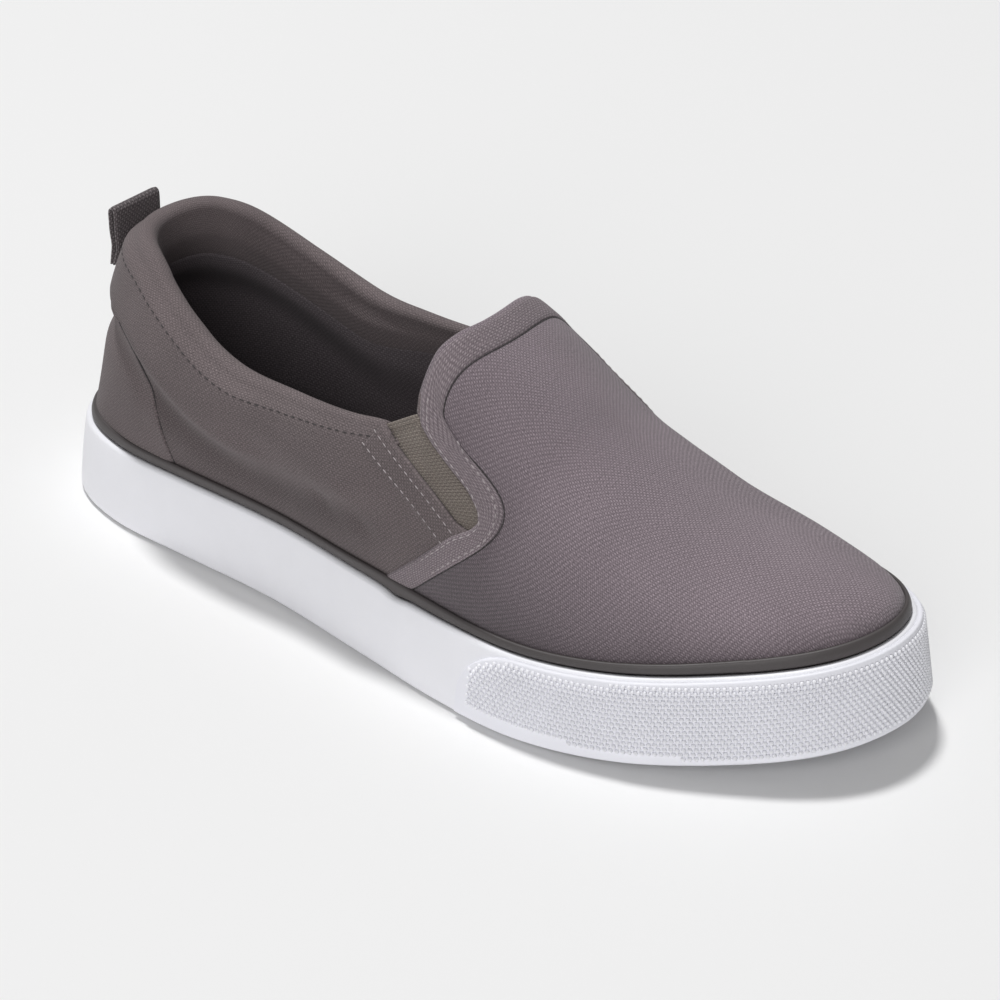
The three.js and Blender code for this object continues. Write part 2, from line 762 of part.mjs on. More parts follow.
// Loop of folded webbing, sewn flat on the back of the heel and standing up behind the collar
function loopShape() {
  const backAt = (height) => {
    const line = skin[0].map((spot) => spot.point);
    let i = 1;
    while (i < line.length - 1 && line[i].z < height) i += 1;
    const share = (height - line[i - 1].z) / (line[i].z - line[i - 1].z);
    return line[i - 1].x + (line[i].x - line[i - 1].x) * share - seamGap;
  };
  const sewnTop = loopFoot + loopSewn;
  const front = backAt(sewnTop);
  const depth = 2 * loopThickness + loopGap;
  const bend = depth / 2;
  const centre = new THREE.Vector2(front - bend, loopTop - bend);
  const fold = new THREE.Path().absarc(centre.x, centre.y, bend, 0, Math.PI).getPoints(4);
  const inside = new THREE.Path().absarc(centre.x, centre.y, loopGap / 2, 0, Math.PI).getPoints(3);
  const shape = new THREE.Shape([
    new THREE.Vector2(backAt(loopFoot), loopFoot),
    new THREE.Vector2(front, sewnTop),
    ...fold,
    new THREE.Vector2(front - depth, sewnTop),
    new THREE.Vector2(backAt(loopFoot) - 2 * loopThickness, loopFoot),
  ]);
  const gapFoot = new THREE.Vector2(front - bend, sewnTop);
  shape.holes.push(new THREE.Path([...inside, gapFoot]));
  return shape;
}
const loop = new THREE.ExtrudeGeometry(loopShape(), { depth: loopWidth, bevelEnabled: false });
loop.rotateX(Math.PI / 2);
loop.translate(0, loopWidth / 2, 0);
addPiece("heel_loop", loop, paint.webbing);

// The whole shoe stands centred over its own origin.
const extent = new THREE.Box3().setFromObject(shoe);
const centre = extent.getCenter(new THREE.Vector3());
shoe.position.set(-centre.x, -centre.y, -extent.min.z);

export default group;
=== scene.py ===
import json
import math

import bmesh
import bpy
import numpy as np
from mathutils import Matrix, Vector
from mathutils.bvhtree import BVHTree


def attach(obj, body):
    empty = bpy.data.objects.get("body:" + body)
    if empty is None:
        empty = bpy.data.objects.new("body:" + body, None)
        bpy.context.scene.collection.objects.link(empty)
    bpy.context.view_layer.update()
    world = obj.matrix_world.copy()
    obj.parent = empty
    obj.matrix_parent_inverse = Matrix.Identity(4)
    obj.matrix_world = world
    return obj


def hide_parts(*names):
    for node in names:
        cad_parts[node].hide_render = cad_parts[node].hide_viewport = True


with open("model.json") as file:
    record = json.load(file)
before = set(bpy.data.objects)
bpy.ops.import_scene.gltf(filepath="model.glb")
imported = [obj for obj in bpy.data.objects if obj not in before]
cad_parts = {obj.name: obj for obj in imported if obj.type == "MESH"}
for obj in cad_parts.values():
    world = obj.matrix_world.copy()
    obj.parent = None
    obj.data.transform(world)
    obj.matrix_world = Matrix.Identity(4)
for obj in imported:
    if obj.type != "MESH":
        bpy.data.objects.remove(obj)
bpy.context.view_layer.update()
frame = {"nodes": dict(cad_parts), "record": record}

print("stage: frame loaded")

# The shoe's own measures in millimetres, from the back of the sole along +X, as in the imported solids
shoe = {
    "soleLength": 262,
    "ballWidth": 94,
    "heelRadius": 36,
    "toeRadius": 33,
    "toeSpring": 8,
    "springStart": 0.66,
    "seamGap": 0.3,
    "foxingHeight": 21.8,
    "foxingRise": 2.6,
    "riseStart": 0.55,
    "foxingThickness": 2.2,
    "sidewallDraft": 3,
    "instepHeight": 90,
    "heelHeight": 83,
    "toeTipRadius": 11,
    "clothThickness": 2,
    "padThickness": 9,
    "padRim": 6.1,
    "padDepth": 24,
    "padSwell": 5,
    "padFade": 6,
    "padPuff": 2.2,
    "quarterFlare": 4.5,
    "flareRise": 26,
    "flareStart": 0.02,
    "flareFull": 0.3,
    "collarTuck": 2,
    "tuckRise": 22,
    "quarterFull": 0.42,
    "quarterEnd": 0.6,
    "heelLean": 15.5,
    "leanReach": 0.4,
    "leanCurve": 0.85,
    "fanStart": 0.4,
    "fanFull": 0.62,
}
# Shares of the sole's length, and of the ball's width
outlineRows = {
    "at": [0.12, 0.22, 0.35, 0.48, 0.6, 0.7, 0.8, 0.9, 1],
    "half": [0.3475, 0.3685, 0.358, 0.384, 0.456, 0.5, 0.476, 0.364, 0],
    "middle": [0, -0.001, -0.029, -0.06, -0.043, -0.015, 0.016, 0.047, 0.08],
}
# The ridge's rise over the sidewall, its place across, and how full the sections are
lastRows = {
    "at": [0, 0.3, 0.45, 0.56, 0.65, 0.75, 0.85, 0.93, 1],
    "rise": [1.9, 1.62, 1.27, 1, 0.72, 0.455, 0.3, 0.205, 0],
    "ridge": [0, -0.03, -0.09, -0.11, -0.08, -0.035, 0.015, 0.05, 0.08],
    "wide": [2.6, 2.6, 2.5, 2.5, 2.1, 1.95, 1.95, 2, 2],
    "tall": [2.6, 2.6, 2.6, 2.7, 2.05, 1.85, 1.85, 1.9, 1.9],
}
collarRows = {
    "at": [0, 0.05, 0.1, 0.15, 0.2, 0.25, 0.3, 0.38, 0.46, 0.515],
    "height": [1, 0.99, 0.96, 0.905, 0.845, 0.795, 0.765, 0.765, 0.785, 0.81],
}
padRows = {"at": [0.28, 0.37, 0.46, 0.52], "amount": [1, 0.65, 0.3, 0]}
throatRows = {"at": [0.536, 0.539, 0.548, 0.555, 0.557], "across": [0.8, 0.62, 0.42, 0.2, 0]}

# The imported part's origin, found from a mount whose place in the shoe's own measures is known
heelRest = next(m["pos_m"] for m in frame["record"]["mounts"] if m["name"] == "heel_rest")
heelRestX = 29.5
origin = np.array([heelRest[0] * 1000 - heelRestX, heelRest[1] * 1000, 0.0])


def place(points):
    return (np.asarray(points, float) + origin) / 1000


def smooth(low, high, value):
    t = np.clip((value - low) / (high - low), 0, 1)
    return t * t * (3 - 2 * t)


def bump(value, centre, reach):
    return np.exp(-(((value - centre) / reach) ** 2))


def runLengths(points):
    # length along each row of points, from its start
    steps = np.linalg.norm(np.diff(points, axis=-2), axis=-1)
    return np.concatenate([np.zeros_like(steps[..., :1]), np.cumsum(steps, axis=-1)], axis=-1)


def atRows(grid, index, at):
    # the points of a grid's meridians at fractional rows
    low = np.floor(at).astype(int).clip(0, grid.shape[1] - 2)
    t = (at - low)[..., None]
    return grid[index, low] * (1 - t) + grid[index, low + 1] * t


def curveThrough(xs, ys, level=False):
    xs, ys = np.array(xs, float), np.array(ys, float)
    widths = np.diff(xs)
    bends = np.diff(ys) / widths
    slopes = np.zeros(len(xs))
    slopes[1:-1] = (bends[:-1] * widths[1:] + bends[1:] * widths[:-1]) / (widths[:-1] + widths[1:])
    if not level:
        slopes[0] = 2 * bends[0] - slopes[1]
        slopes[-1] = 2 * bends[-1] - slopes[-2]

    def curve(x):
        x = np.clip(x, xs[0], xs[-1])
        i = np.clip(np.searchsorted(xs, x, side="right") - 1, 0, len(widths) - 1)
        t = (x - xs[i]) / widths[i]
        a = (slopes[i] - bends[i]) * widths[i]
        b = (bends[i] - slopes[i + 1]) * widths[i]
        return ys[i] + (ys[i + 1] - ys[i]) * t + t * (1 - t) * (a * (1 - t) + b * t)

    return curve


def stationOf(at):
    return np.arccos(1 - 2 * np.clip(at, 0, 1))


def shareOf(station):
    return (1 - np.cos(station)) / 2


def tracked(rows, key):
    return curveThrough(stationOf(np.array(rows["at"])), rows[key], True)


# The sole's outline, and the layers nested inside it
outlineStations = np.concatenate([[0], stationOf(np.array(outlineRows["at"]))])
innerHalves = np.array(outlineRows["half"][:-1]) * shoe["ballWidth"] / np.sin(outlineStations[1:-1])
halfWidth = curveThrough(outlineStations, np.concatenate([
    [math.sqrt(shoe["heelRadius"] * shoe["soleLength"] / 2)],
    innerHalves,
    [math.sqrt(shoe["toeRadius"] * shoe["soleLength"] / 2)],
]), True)
middleLine = curveThrough(outlineStations, [0] + outlineRows["middle"], True)


def stationAt(turn):
    return math.pi - np.abs(math.pi - np.mod(turn, 2 * math.pi))


def sideAt(turn):
    return np.where(np.mod(turn, 2 * math.pi) < math.pi, -1.0, 1.0)


def soleOutline(turn):
    station = stationAt(turn)
    x = shoe["soleLength"] * shareOf(station)
    y = middleLine(station) * shoe["ballWidth"] + sideAt(turn) * np.sin(station) * halfWidth(station)
    return np.stack([x, y], axis=-1)


def outwardAt(turn):
    step = 0.01
    along = soleOutline(turn + step) - soleOutline(turn - step)
    along /= np.linalg.norm(along, axis=-1, keepdims=True)
    return np.stack([along[..., 1], -along[..., 0]], axis=-1)


def lift(x):
    t = np.clip((x / shoe["soleLength"] - shoe["springStart"]) / (1 - shoe["springStart"]), 0, 1)
    return shoe["toeSpring"] * t ** 2


def wallTop(turn):
    share = soleOutline(turn)[..., 0] / shoe["soleLength"]
    return shoe["foxingHeight"] + shoe["foxingRise"] * smooth(shoe["riseStart"], 1, share)


def wallPoint(turn, depth, height):
    turn, height = np.broadcast_arrays(np.asarray(turn, float), np.asarray(height, float))
    inset = shoe["sidewallDraft"] * height / shoe["foxingHeight"] + depth
    flat = soleOutline(turn) - outwardAt(turn) * inset[..., None]
    return np.concatenate([flat, (lift(flat[..., 0]) + height)[..., None]], axis=-1)


# The last: turn goes round the sidewall, climb from 0 there to 1 on the ridge
upperDepth = shoe["foxingThickness"] + shoe["seamGap"]
lastStations = stationOf(np.array(lastRows["at"]))
instepRise = shoe["instepHeight"] - shoe["foxingHeight"]
ridgeFull = curveThrough(lastStations, np.concatenate([
    np.array(lastRows["rise"][:-1]) * instepRise / np.sin(np.maximum(lastStations[:-1], math.pi / 2)),
    [math.sqrt(shoe["toeTipRadius"] * shoe["soleLength"] / 2)],
]))
ridgeLine = tracked(lastRows, "ridge")
sectionWide = tracked(lastRows, "wide")
sectionTall = tracked(lastRows, "tall")


def lastPoint(turn, climb):
    turn, climb = np.broadcast_arrays(np.asarray(turn, float), np.asarray(climb, float))
    station = stationAt(turn)
    foot = wallPoint(turn, upperDepth, wallTop(turn))
    ridgeY = ridgeLine(station) * shoe["ballWidth"]
    angle = np.clip(climb, 0, 1) * math.pi / 2
    across = np.maximum(np.cos(angle), 0) ** (2 / sectionWide(station))
    up = np.sin(angle) ** (2 / sectionTall(station))
    rise = np.sin(np.maximum(station, math.pi / 2)) * ridgeFull(station)
    # the two sides' feet differ a little along the shoe, so both sides meet halfway on the ridge
    farFoot = wallPoint(2 * math.pi - turn, upperDepth, wallTop(turn))
    x = foot[..., 0] + (farFoot[..., 0] - foot[..., 0]) / 2 * up
    y = ridgeY + (foot[..., 1] - ridgeY) * across
    height = np.maximum(rise * up, 0)
    outward = outwardAt(turn)
    share = shareOf(station)
    flare = shoe["quarterFlare"] * smooth(shoe["flareStart"], shoe["flareFull"], share)
    bulgeOut = flare * np.sin(math.pi / 2 * np.minimum(height / shoe["flareRise"], 1))
    tuckShare = np.maximum(height - shoe["flareRise"], 0) / shoe["tuckRise"]
    tuckIn = (flare + shoe["collarTuck"]) * tuckShare ** 2
    quarter = 1 - smooth(shoe["quarterFull"], shoe["quarterEnd"], share)
    bulge = quarter * across ** 2 * (bulgeOut - tuckIn)
    lean = shoe["heelLean"] * (height / (shoe["heelHeight"] - shoe["foxingHeight"])) ** shoe["leanCurve"]
    x = x + outward[..., 0] * bulge + lean * (1 - smooth(0, shoe["leanReach"], share))
    y = y + outward[..., 1] * bulge
    base = foot[..., 2] + (farFoot[..., 2] - foot[..., 2]) / 2 * up
    return np.stack([x, y, base + height], axis=-1)


def toFlat(station, climb):
    angle = climb * math.pi / 2
    return np.stack([(math.pi - station) * np.cos(angle), (math.pi - station) * np.sin(angle)], axis=-1)


def climbAtHeight(turn, height):
    low, high = np.zeros_like(turn), np.ones_like(turn)
    for _ in range(30):
        middle = (low + high) / 2
        below = lastPoint(turn, middle)[..., 2] < height
        low, high = np.where(below, middle, low), np.where(below, high, middle)
    return (low + high) / 2


collarHeight = tracked(collarRows, "height")
throatSteps = np.arange(len(throatRows["at"]))
throatAt = curveThrough(throatSteps, throatRows["at"])
throatAcross = curveThrough(throatSteps, throatRows["across"])


def edgeFlat(turn):
    station = stationAt(turn)
    corner = stationOf(collarRows["at"][-1])
    collarClimb = climbAtHeight(turn, collarHeight(station) * shoe["heelHeight"])
    along = np.clip((station - corner) / (math.pi - corner), 0, 1) * throatSteps[-1]
    throatStation = stationOf(throatAt(along))
    across = np.clip(throatAcross(along), 0, 1)
    throatClimb = np.arccos(across ** (sectionWide(throatStation) / 2)) / (math.pi / 2)
    onCollar = (station <= corner)[..., None]
    return np.where(onCollar, toFlat(station, collarClimb), toFlat(throatStation, throatClimb))


def onMeridian(turn, t):
    # where on the last: turn has one row for each meridian, t runs from the sidewall to the opening's edge
    station = stationAt(turn)
    start, end = toFlat(station, np.zeros_like(station)), edgeFlat(turn)
    fan = smooth(shoe["fanStart"], shoe["fanFull"], shareOf(station))[:, None, None]
    startLength = np.linalg.norm(start, axis=-1)[:, None]
    radius = startLength + (np.linalg.norm(end, axis=-1)[:, None] - startLength) * t
    angle = np.arctan2(end[:, 1], end[:, 0])[:, None] * t
    straight = start[:, None, :] + (end - start)[:, None, :] * t[..., None]
    turned = np.stack([np.cos(angle), np.sin(angle)], axis=-1) * radius[..., None]
    flat = turned + (straight - turned) * fan
    flatStation = math.pi - np.minimum(np.linalg.norm(flat, axis=-1), math.pi)
    climb = np.arctan2(flat[..., 1], np.maximum(flat[..., 0], 0)) / (math.pi / 2)
    outer = sideAt(turn)[:, None] < 0
    return np.where(outer, flatStation, 2 * math.pi - flatStation), climb


padTrack = tracked(padRows, "amount")


def padAmount(turn):
    return np.clip(padTrack(stationAt(turn)), 0, 1)


def padShape(distance):
    thinned = smooth(shoe["padDepth"] - shoe["padFade"], shoe["padDepth"], distance)
    return smooth(0, shoe["padSwell"], distance) * (1 - thinned)


def rimThickness(turn):
    return shoe["clothThickness"] + (shoe["padRim"] - shoe["clothThickness"]) * padAmount(turn)


fineTurns = np.linspace(0, 2 * math.pi, 4001)
outlineRun = runLengths(soleOutline(fineTurns))


def evenTurns(count):
    # turns that divide the sole's outline into equal lengths
    return np.interp(np.arange(count) * outlineRun[-1] / count, outlineRun, fineTurns)


def ringNormals(grid):
    along = np.roll(grid, -1, axis=0) - np.roll(grid, 1, axis=0)
    up = np.empty_like(grid)
    up[:, 1:-1] = grid[:, 2:] - grid[:, :-2]
    up[:, 0] = grid[:, 1] - grid[:, 0]
    up[:, -1] = grid[:, -1] - grid[:, -2]
    normals = np.cross(along, up)
    return normals / (np.linalg.norm(normals, axis=-1, keepdims=True) + 1e-12)


def skinGrid(turns, lowCount, highCount):
    # points, distance from the opening's edge, and place on the last, for each meridian from the sidewall up
    fine = np.tile(np.linspace(0, 1, cloth["fineSteps"]), (len(turns), 1))
    lengths = runLengths(lastPoint(*onMeridian(turns, fine)))
    usable = lengths[:, -1] - rimThickness(turns) / 2
    squeeze = np.minimum(1, usable / (2 * shoe["padDepth"]))
    high = usable[:, None] - shoe["padDepth"] * squeeze[:, None] * np.linspace(1, 0, highCount)[None]
    low = high[:, :1] * np.linspace(0, 1, lowCount + 1)[None, :-1]
    distances = np.concatenate([low, high], axis=1)
    t = np.array([np.interp(row, length, fine[0]) for row, length in zip(distances, lengths)])
    around, climb = onMeridian(turns, t)
    return lastPoint(around, climb), usable[:, None] - distances, around, climb


print("stage: last worked out")


# Helpers for meshes
def ringFaces(count, size, closed=True):
    # quads of a grid that closes round its first direction, and round its second where closed
    i = np.arange(count)[:, None]
    j = np.arange(size if closed else size - 1)[None]
    here, after = i * size, (i + 1) % count * size
    k = (j + 1) % size
    return np.stack([here + j, after + j, after + k, here + k], axis=-1).reshape(-1, 4)


def tubeFaces(count, size):
    # a tube along the first direction, closed at both ends
    ends = [list(range(size))[::-1], list(range(size * (count - 1), size * count))]
    return ringFaces(count, size).tolist()[:-size] + ends


def slab(upper, lower):
    # a closed sheet between two grids of points
    rows, columns = upper.shape[:2]
    total = rows * columns
    faces = ringFaces(rows, columns, False).tolist()[:1 - columns]
    faces += [[v + total for v in face[::-1]] for face in faces]
    border = (list(range(columns)) + [i * columns + columns - 1 for i in range(1, rows)]
              + [(rows - 1) * columns + j for j in range(columns - 2, -1, -1)]
              + [i * columns for i in range(rows - 2, 0, -1)])
    faces += [[b, a, a + total, b + total] for a, b in zip(border, border[1:] + border[:1])]
    return np.concatenate([upper.reshape(-1, 3), lower.reshape(-1, 3)]), faces


def makePiece(name, points, faces, material, uv=None, cornerUv=None, paintedShade=None):
    mesh = bpy.data.meshes.new(name)
    mesh.from_pydata(place(points).tolist(), [], [list(map(int, face)) for face in faces])
    if uv is not None:
        corners = np.empty(len(mesh.loops), dtype=int)
        mesh.loops.foreach_get("vertex_index", corners)
        cornerUv = np.asarray(uv)[corners]
    if cornerUv is not None:
        layer = mesh.uv_layers.new(name="cloth")
        layer.data.foreach_set("uv", np.asarray(cornerUv, dtype=np.float32).ravel())
    # a point attribute of painted shade, which the cloth material reads
    if paintedShade is not None:
        layer = mesh.attributes.new("paintedShade", "FLOAT", "POINT")
        layer.data.foreach_set("value", np.asarray(paintedShade, dtype=np.float32).ravel())
    mesh.polygons.foreach_set("use_smooth", np.ones(len(mesh.polygons), dtype=bool))
    mesh.materials.append(material)
    shell = bmesh.new()
    shell.from_mesh(mesh)
    bmesh.ops.delete(shell, geom=[v for v in shell.verts if not v.link_faces], context="VERTS")
    bmesh.ops.recalc_face_normals(shell, faces=shell.faces)
    shell.to_mesh(mesh)
    shell.free()
    piece = bpy.data.objects.new(name, mesh)
    bpy.context.collection.objects.link(piece)
    return piece


def settle(piece, slot, *nodes):
    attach(piece, "root")
    if nodes:
        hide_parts(*nodes)


# Materials
def linear(hexColour):
    # sRGB hex to the linear colour that shaders read
    parts = [int(hexColour[i:i + 2], 16) / 255 for i in (0, 2, 4)]
    return [c / 12.92 if c <= 0.04045 else ((c + 0.055) / 1.055) ** 2.4 for c in parts] + [1.0]


def startMaterial(name):
    material = bpy.data.materials.new(name)
    material.use_nodes = True
    tree = material.node_tree
    return material, tree, tree.nodes["Principled BSDF"]


def addNode(tree, kind, inputs=None, **settings):
    # inputs maps a socket's name or number to a value, or to another node's output
    node = tree.nodes.new(kind)
    for key, value in settings.items():
        setattr(node, key, value)
    for key, value in (inputs or {}).items():
        if isinstance(value, bpy.types.NodeSocket):
            tree.links.new(value, node.inputs[key])
        else:
            node.inputs[key].default_value = value
    return node


def calc(tree, operation, *values):
    return addNode(tree, "ShaderNodeMath", dict(enumerate(values)), operation=operation).outputs[0]


def blendColours(tree, factor, first, second, mode="MIX"):
    node = addNode(tree, "ShaderNodeMix", {0: factor, 6: first, 7: second}, data_type="RGBA", blend_type=mode)
    return node.outputs[2]


def noiseAt(tree, vector, scale, detail=2.0, roughness=0.5):
    inputs = {"Vector": vector, "Scale": scale, "Detail": detail, "Roughness": roughness}
    return addNode(tree, "ShaderNodeTexNoise", inputs).outputs[0]


def wovenMaterial(name, warp, weft, hollow, pitch, depth, roughness, sheen, fleck=0.35, uprightShade=1.0):
    # Plain-woven cotton: threads cross over and under each other, and the hollows between them are given a
    # darker colour, as painted shade.
    # The UV map is in millimetres, and pitch is the spacing of the threads, drawn somewhat coarser than
    # real canvas so that they show. Light from above is painted in: faces turned up keep their full colour,
    # and upright ones keep only a given share of it, as painted shade.
    material, tree, shader = startMaterial(name)
    uv = addNode(tree, "ShaderNodeUVMap", uv_map="cloth").outputs[0]
    wobble = addNode(tree, "ShaderNodeTexNoise", {"Vector": uv, "Scale": 0.22, "Detail": 2.0}).outputs[1]
    centred = addNode(tree, "ShaderNodeVectorMath", {0: wobble, 1: (0.5, 0.5, 0.5)}, operation="SUBTRACT")
    shifted = addNode(tree, "ShaderNodeVectorMath", {0: centred.outputs[0], "Scale": 0.35}, operation="SCALE")
    moved = addNode(tree, "ShaderNodeVectorMath", {0: uv, 1: shifted.outputs[0]}, operation="ADD")
    split = addNode(tree, "ShaderNodeSeparateXYZ", {0: moved.outputs[0]})
    sines = [calc(tree, "SINE", calc(tree, "MULTIPLY", split.outputs[k], math.pi / pitch)) for k in (0, 1)]
    rounds = [calc(tree, "ABSOLUTE", wave) for wave in sines]
    # a thread's profile across it, crowned where it passes over
    profiles = []
    for acrossWave, alongWave in (rounds[::-1], rounds):
        profile = calc(tree, "POWER", acrossWave, 0.6)
        crown = calc(tree, "MULTIPLY_ADD", alongWave, 0.45, 0.55)
        profiles.append(calc(tree, "MULTIPLY", profile, crown))
    warpOver = calc(tree, "GREATER_THAN", calc(tree, "MULTIPLY", sines[0], sines[1]), 0.0)
    height = addNode(tree, "ShaderNodeMix", {0: warpOver, 2: profiles[1], 3: profiles[0]}).outputs[0]
    threads = blendColours(tree, warpOver, linear(weft), linear(warp))
    # painted shade: where the threads dip, the colour goes over to the darker hollow colour
    shade = addNode(tree, "ShaderNodeMapRange", {0: height, 1: 0.15, 2: 0.75, 3: 0.0, 4: 1.0}).outputs[0]
    cloth = blendColours(tree, shade, linear(hollow), threads)
    # flecks of paler and darker fibre, and slow changes of tone over the panel
    stretched = addNode(tree, "ShaderNodeMapping", {"Vector": uv, "Scale": (0.9, 1.3, 1.0)}).outputs[0]
    flecks = noiseAt(tree, stretched, 1.0 / pitch, 3.0, 0.65)
    flecked = addNode(tree, "ShaderNodeMapRange", {0: flecks, 1: 0.3, 2: 0.7, 3: 1 - fleck, 4: 1 + fleck})
    toned = addNode(tree, "ShaderNodeMapRange",
                    {0: noiseAt(tree, uv, 0.035), 1: 0.3, 2: 0.7, 3: 0.93, 4: 1.07})
    facing = addNode(tree, "ShaderNodeNewGeometry").outputs["Normal"]
    turnedUp = addNode(tree, "ShaderNodeSeparateXYZ", {0: facing})
    # painted light from above: the colour is scaled from the given share on upright faces to full on upturned
    # ones
    paintedTopLight = addNode(tree, "ShaderNodeMapRange", {0: turnedUp.outputs[2], 1: 0.05, 2: 0.8, 3: uprightShade, 4: 1.0})
    gain = calc(tree, "MULTIPLY", flecked.outputs[0], toned.outputs[0])
    gain = calc(tree, "MULTIPLY", gain, paintedTopLight.outputs[0])
    # painted shade: the colour is darkened by the piece's painted-shade attribute, where it has one
    paintedShade = addNode(tree, "ShaderNodeAttribute", attribute_name="paintedShade").outputs["Fac"]
    gain = calc(tree, "MULTIPLY", gain, calc(tree, "SUBTRACT", 1.0, paintedShade))
    scaled = addNode(tree, "ShaderNodeVectorMath", {0: cloth, "Scale": gain}, operation="SCALE")
    tree.links.new(scaled.outputs[0], shader.inputs["Base Color"])
    fuzz = calc(tree, "MULTIPLY_ADD", flecks, 0.5, height)
    normal = addNode(tree, "ShaderNodeBump", {"Height": fuzz, "Strength": 0.8, "Distance": depth / 1000})
    tree.links.new(normal.outputs[0], shader.inputs["Normal"])
    shader.inputs["Roughness"].default_value = roughness
    shader.inputs["Sheen Weight"].default_value = sheen
    shader.inputs["Sheen Roughness"].default_value = 0.6
    shader.inputs["Specular IOR Level"].default_value = 0.2
    return material


def rubberMaterial(name, colour, grain, roughness, coat, scuff):
    # Vulcanised rubber: smooth from the mould, with a faint grain and a soft satin gloss
    material, tree, shader = startMaterial(name)
    where = addNode(tree, "ShaderNodeTexCoord").outputs["Object"]
    cloudy = noiseAt(tree, where, 60.0, 3.0)
    fine = noiseAt(tree, where, 1000 / grain, 2.0)
    tone = addNode(tree, "ShaderNodeMapRange", {0: cloudy, 1: 0.3, 2: 0.7, 3: 1 - scuff, 4: 1.0}).outputs[0]
    base = addNode(tree, "ShaderNodeVectorMath", {0: linear(colour)[:3], "Scale": tone}, operation="SCALE")
    tree.links.new(base.outputs[0], shader.inputs["Base Color"])
    patchy = {0: cloudy, 1: 0.3, 2: 0.7, 3: roughness - 0.06, 4: roughness + 0.06}
    rough = addNode(tree, "ShaderNodeMapRange", patchy)
    tree.links.new(rough.outputs[0], shader.inputs["Roughness"])
    normal = addNode(tree, "ShaderNodeBump", {"Height": fine, "Strength": 0.25, "Distance": 0.0002})
    tree.links.new(normal.outputs[0], shader.inputs["Normal"])
    shader.inputs["Coat Weight"].default_value = coat
    shader.inputs["Coat Roughness"].default_value = 0.35
    shader.inputs["IOR"].default_value = 1.52
    return material


def threadMaterial(name, colour):
    # Polyester sewing thread: a slight lustre, twisted strands too fine to show
    material, tree, shader = startMaterial(name)
    where = addNode(tree, "ShaderNodeTexCoord").outputs["Object"]
    flecks = noiseAt(tree, where, 900.0)
    tone = addNode(tree, "ShaderNodeMapRange", {0: flecks, 1: 0.3, 2: 0.7, 3: 0.8, 4: 1.15}).outputs[0]
    base = addNode(tree, "ShaderNodeVectorMath", {0: linear(colour)[:3], "Scale": tone}, operation="SCALE")
    tree.links.new(base.outputs[0], shader.inputs["Base Color"])
    shader.inputs["Roughness"].default_value = 0.6
    shader.inputs["Sheen Weight"].default_value = 0.1
    return material


# Each cloth's colours; where given, the share of colour that upright faces keep is painted shade under light
# from above
cloths = {
    # The vamp's colours are paler and the quarter's darker; in part this is painted light and shade on the
    # same canvas
    "vamp": {"warp": "95888f", "weft": "7f737a", "hollow": "675c61",
             "pitch": 0.58, "depth": 0.1, "uprightShade": 0.42},
    "facing": {"warp": "91868a", "weft": "7c7176", "hollow": "5f555a", "pitch": 0.6, "depth": 0.1},
    "quarter": {"warp": "7c7172", "weft": "6d6364", "hollow": "595152",
                "pitch": 0.6, "depth": 0.1, "uprightShade": 0.86},
    "lining": {"warp": "6e676a", "weft": "615a5d", "hollow": "4b4447", "pitch": 0.7, "depth": 0.1},
    "webbing": {"warp": "7c7476", "weft": "5f585a", "hollow": "3a3435", "pitch": 0.7, "depth": 0.25},
    "elastic": {"warp": "8f867f", "weft": "7e756e", "hollow": "625a54", "pitch": 0.5, "depth": 0.08},
}
# the vamp's canvas carries the strongest painted top light
vampCanvas = wovenMaterial("vampCanvasPaintedLight", roughness=0.9, sheen=0.2, **cloths["vamp"])
facingCanvas = wovenMaterial("foldedCanvas", roughness=0.9, sheen=0.12, **cloths["facing"])
quarterCanvas = wovenMaterial("plainCanvas", roughness=0.9, sheen=0.08, **cloths["quarter"])
liningCloth = wovenMaterial("drillLining", roughness=0.95, sheen=0.05, **cloths["lining"])
webbing = wovenMaterial("cottonTape", roughness=0.85, sheen=0.1, **cloths["webbing"])
elastic = wovenMaterial("elasticWebbing", roughness=0.8, sheen=0.1, fleck=0.2, **cloths["elastic"])
whiteRubber = rubberMaterial("whiteFoxingRubber", "f5f5fa", 0.4, 0.42, 0.15, 0.03)
bumperRubber = rubberMaterial("bumperRubber", "f3f3fa", 0.4, 0.5, 0.05, 0.03)
soleRubber = rubberMaterial("whiteOutsoleRubber", "d9d9df", 0.6, 0.6, 0.0, 0.08)
stripeRubber = rubberMaterial("darkStripeRubber", "4b4646", 0.4, 0.55, 0.05, 0.1)
darkThread = threadMaterial("darkThread", "2c2728")
paleThread = threadMaterial("greyThread", "a69d9f")
print("stage: materials made")


# Skin of the upper, before thickness: the reference surface on which every sewn part is laid
cloth = {
    "turns": 470,
    "fineSteps": 161,    # points that each meridian is measured with
    "gapTurns": 7,       # meridians added where the collar's edge steps up to the throat's
    "lowRows": 46,
    "highRows": 34,
    "rimRows": 7,
    "rollRows": 9,
    "thickness": 0.9,
    "underPadShade": 0.26,     # painted shade on the flat cloth under the padding
    "thinned": (16, 33), # where the padding thins out on its inner face, below the edge
    "rollHeel": 15,      # how far the canvas turns down inside the collar at the heel
    "rollVamp": 6,       # and under the vamp's edge
    "padValley": 1.6,    # hollow under the padding's lower edge
    "valleyReach": 4.5,
}
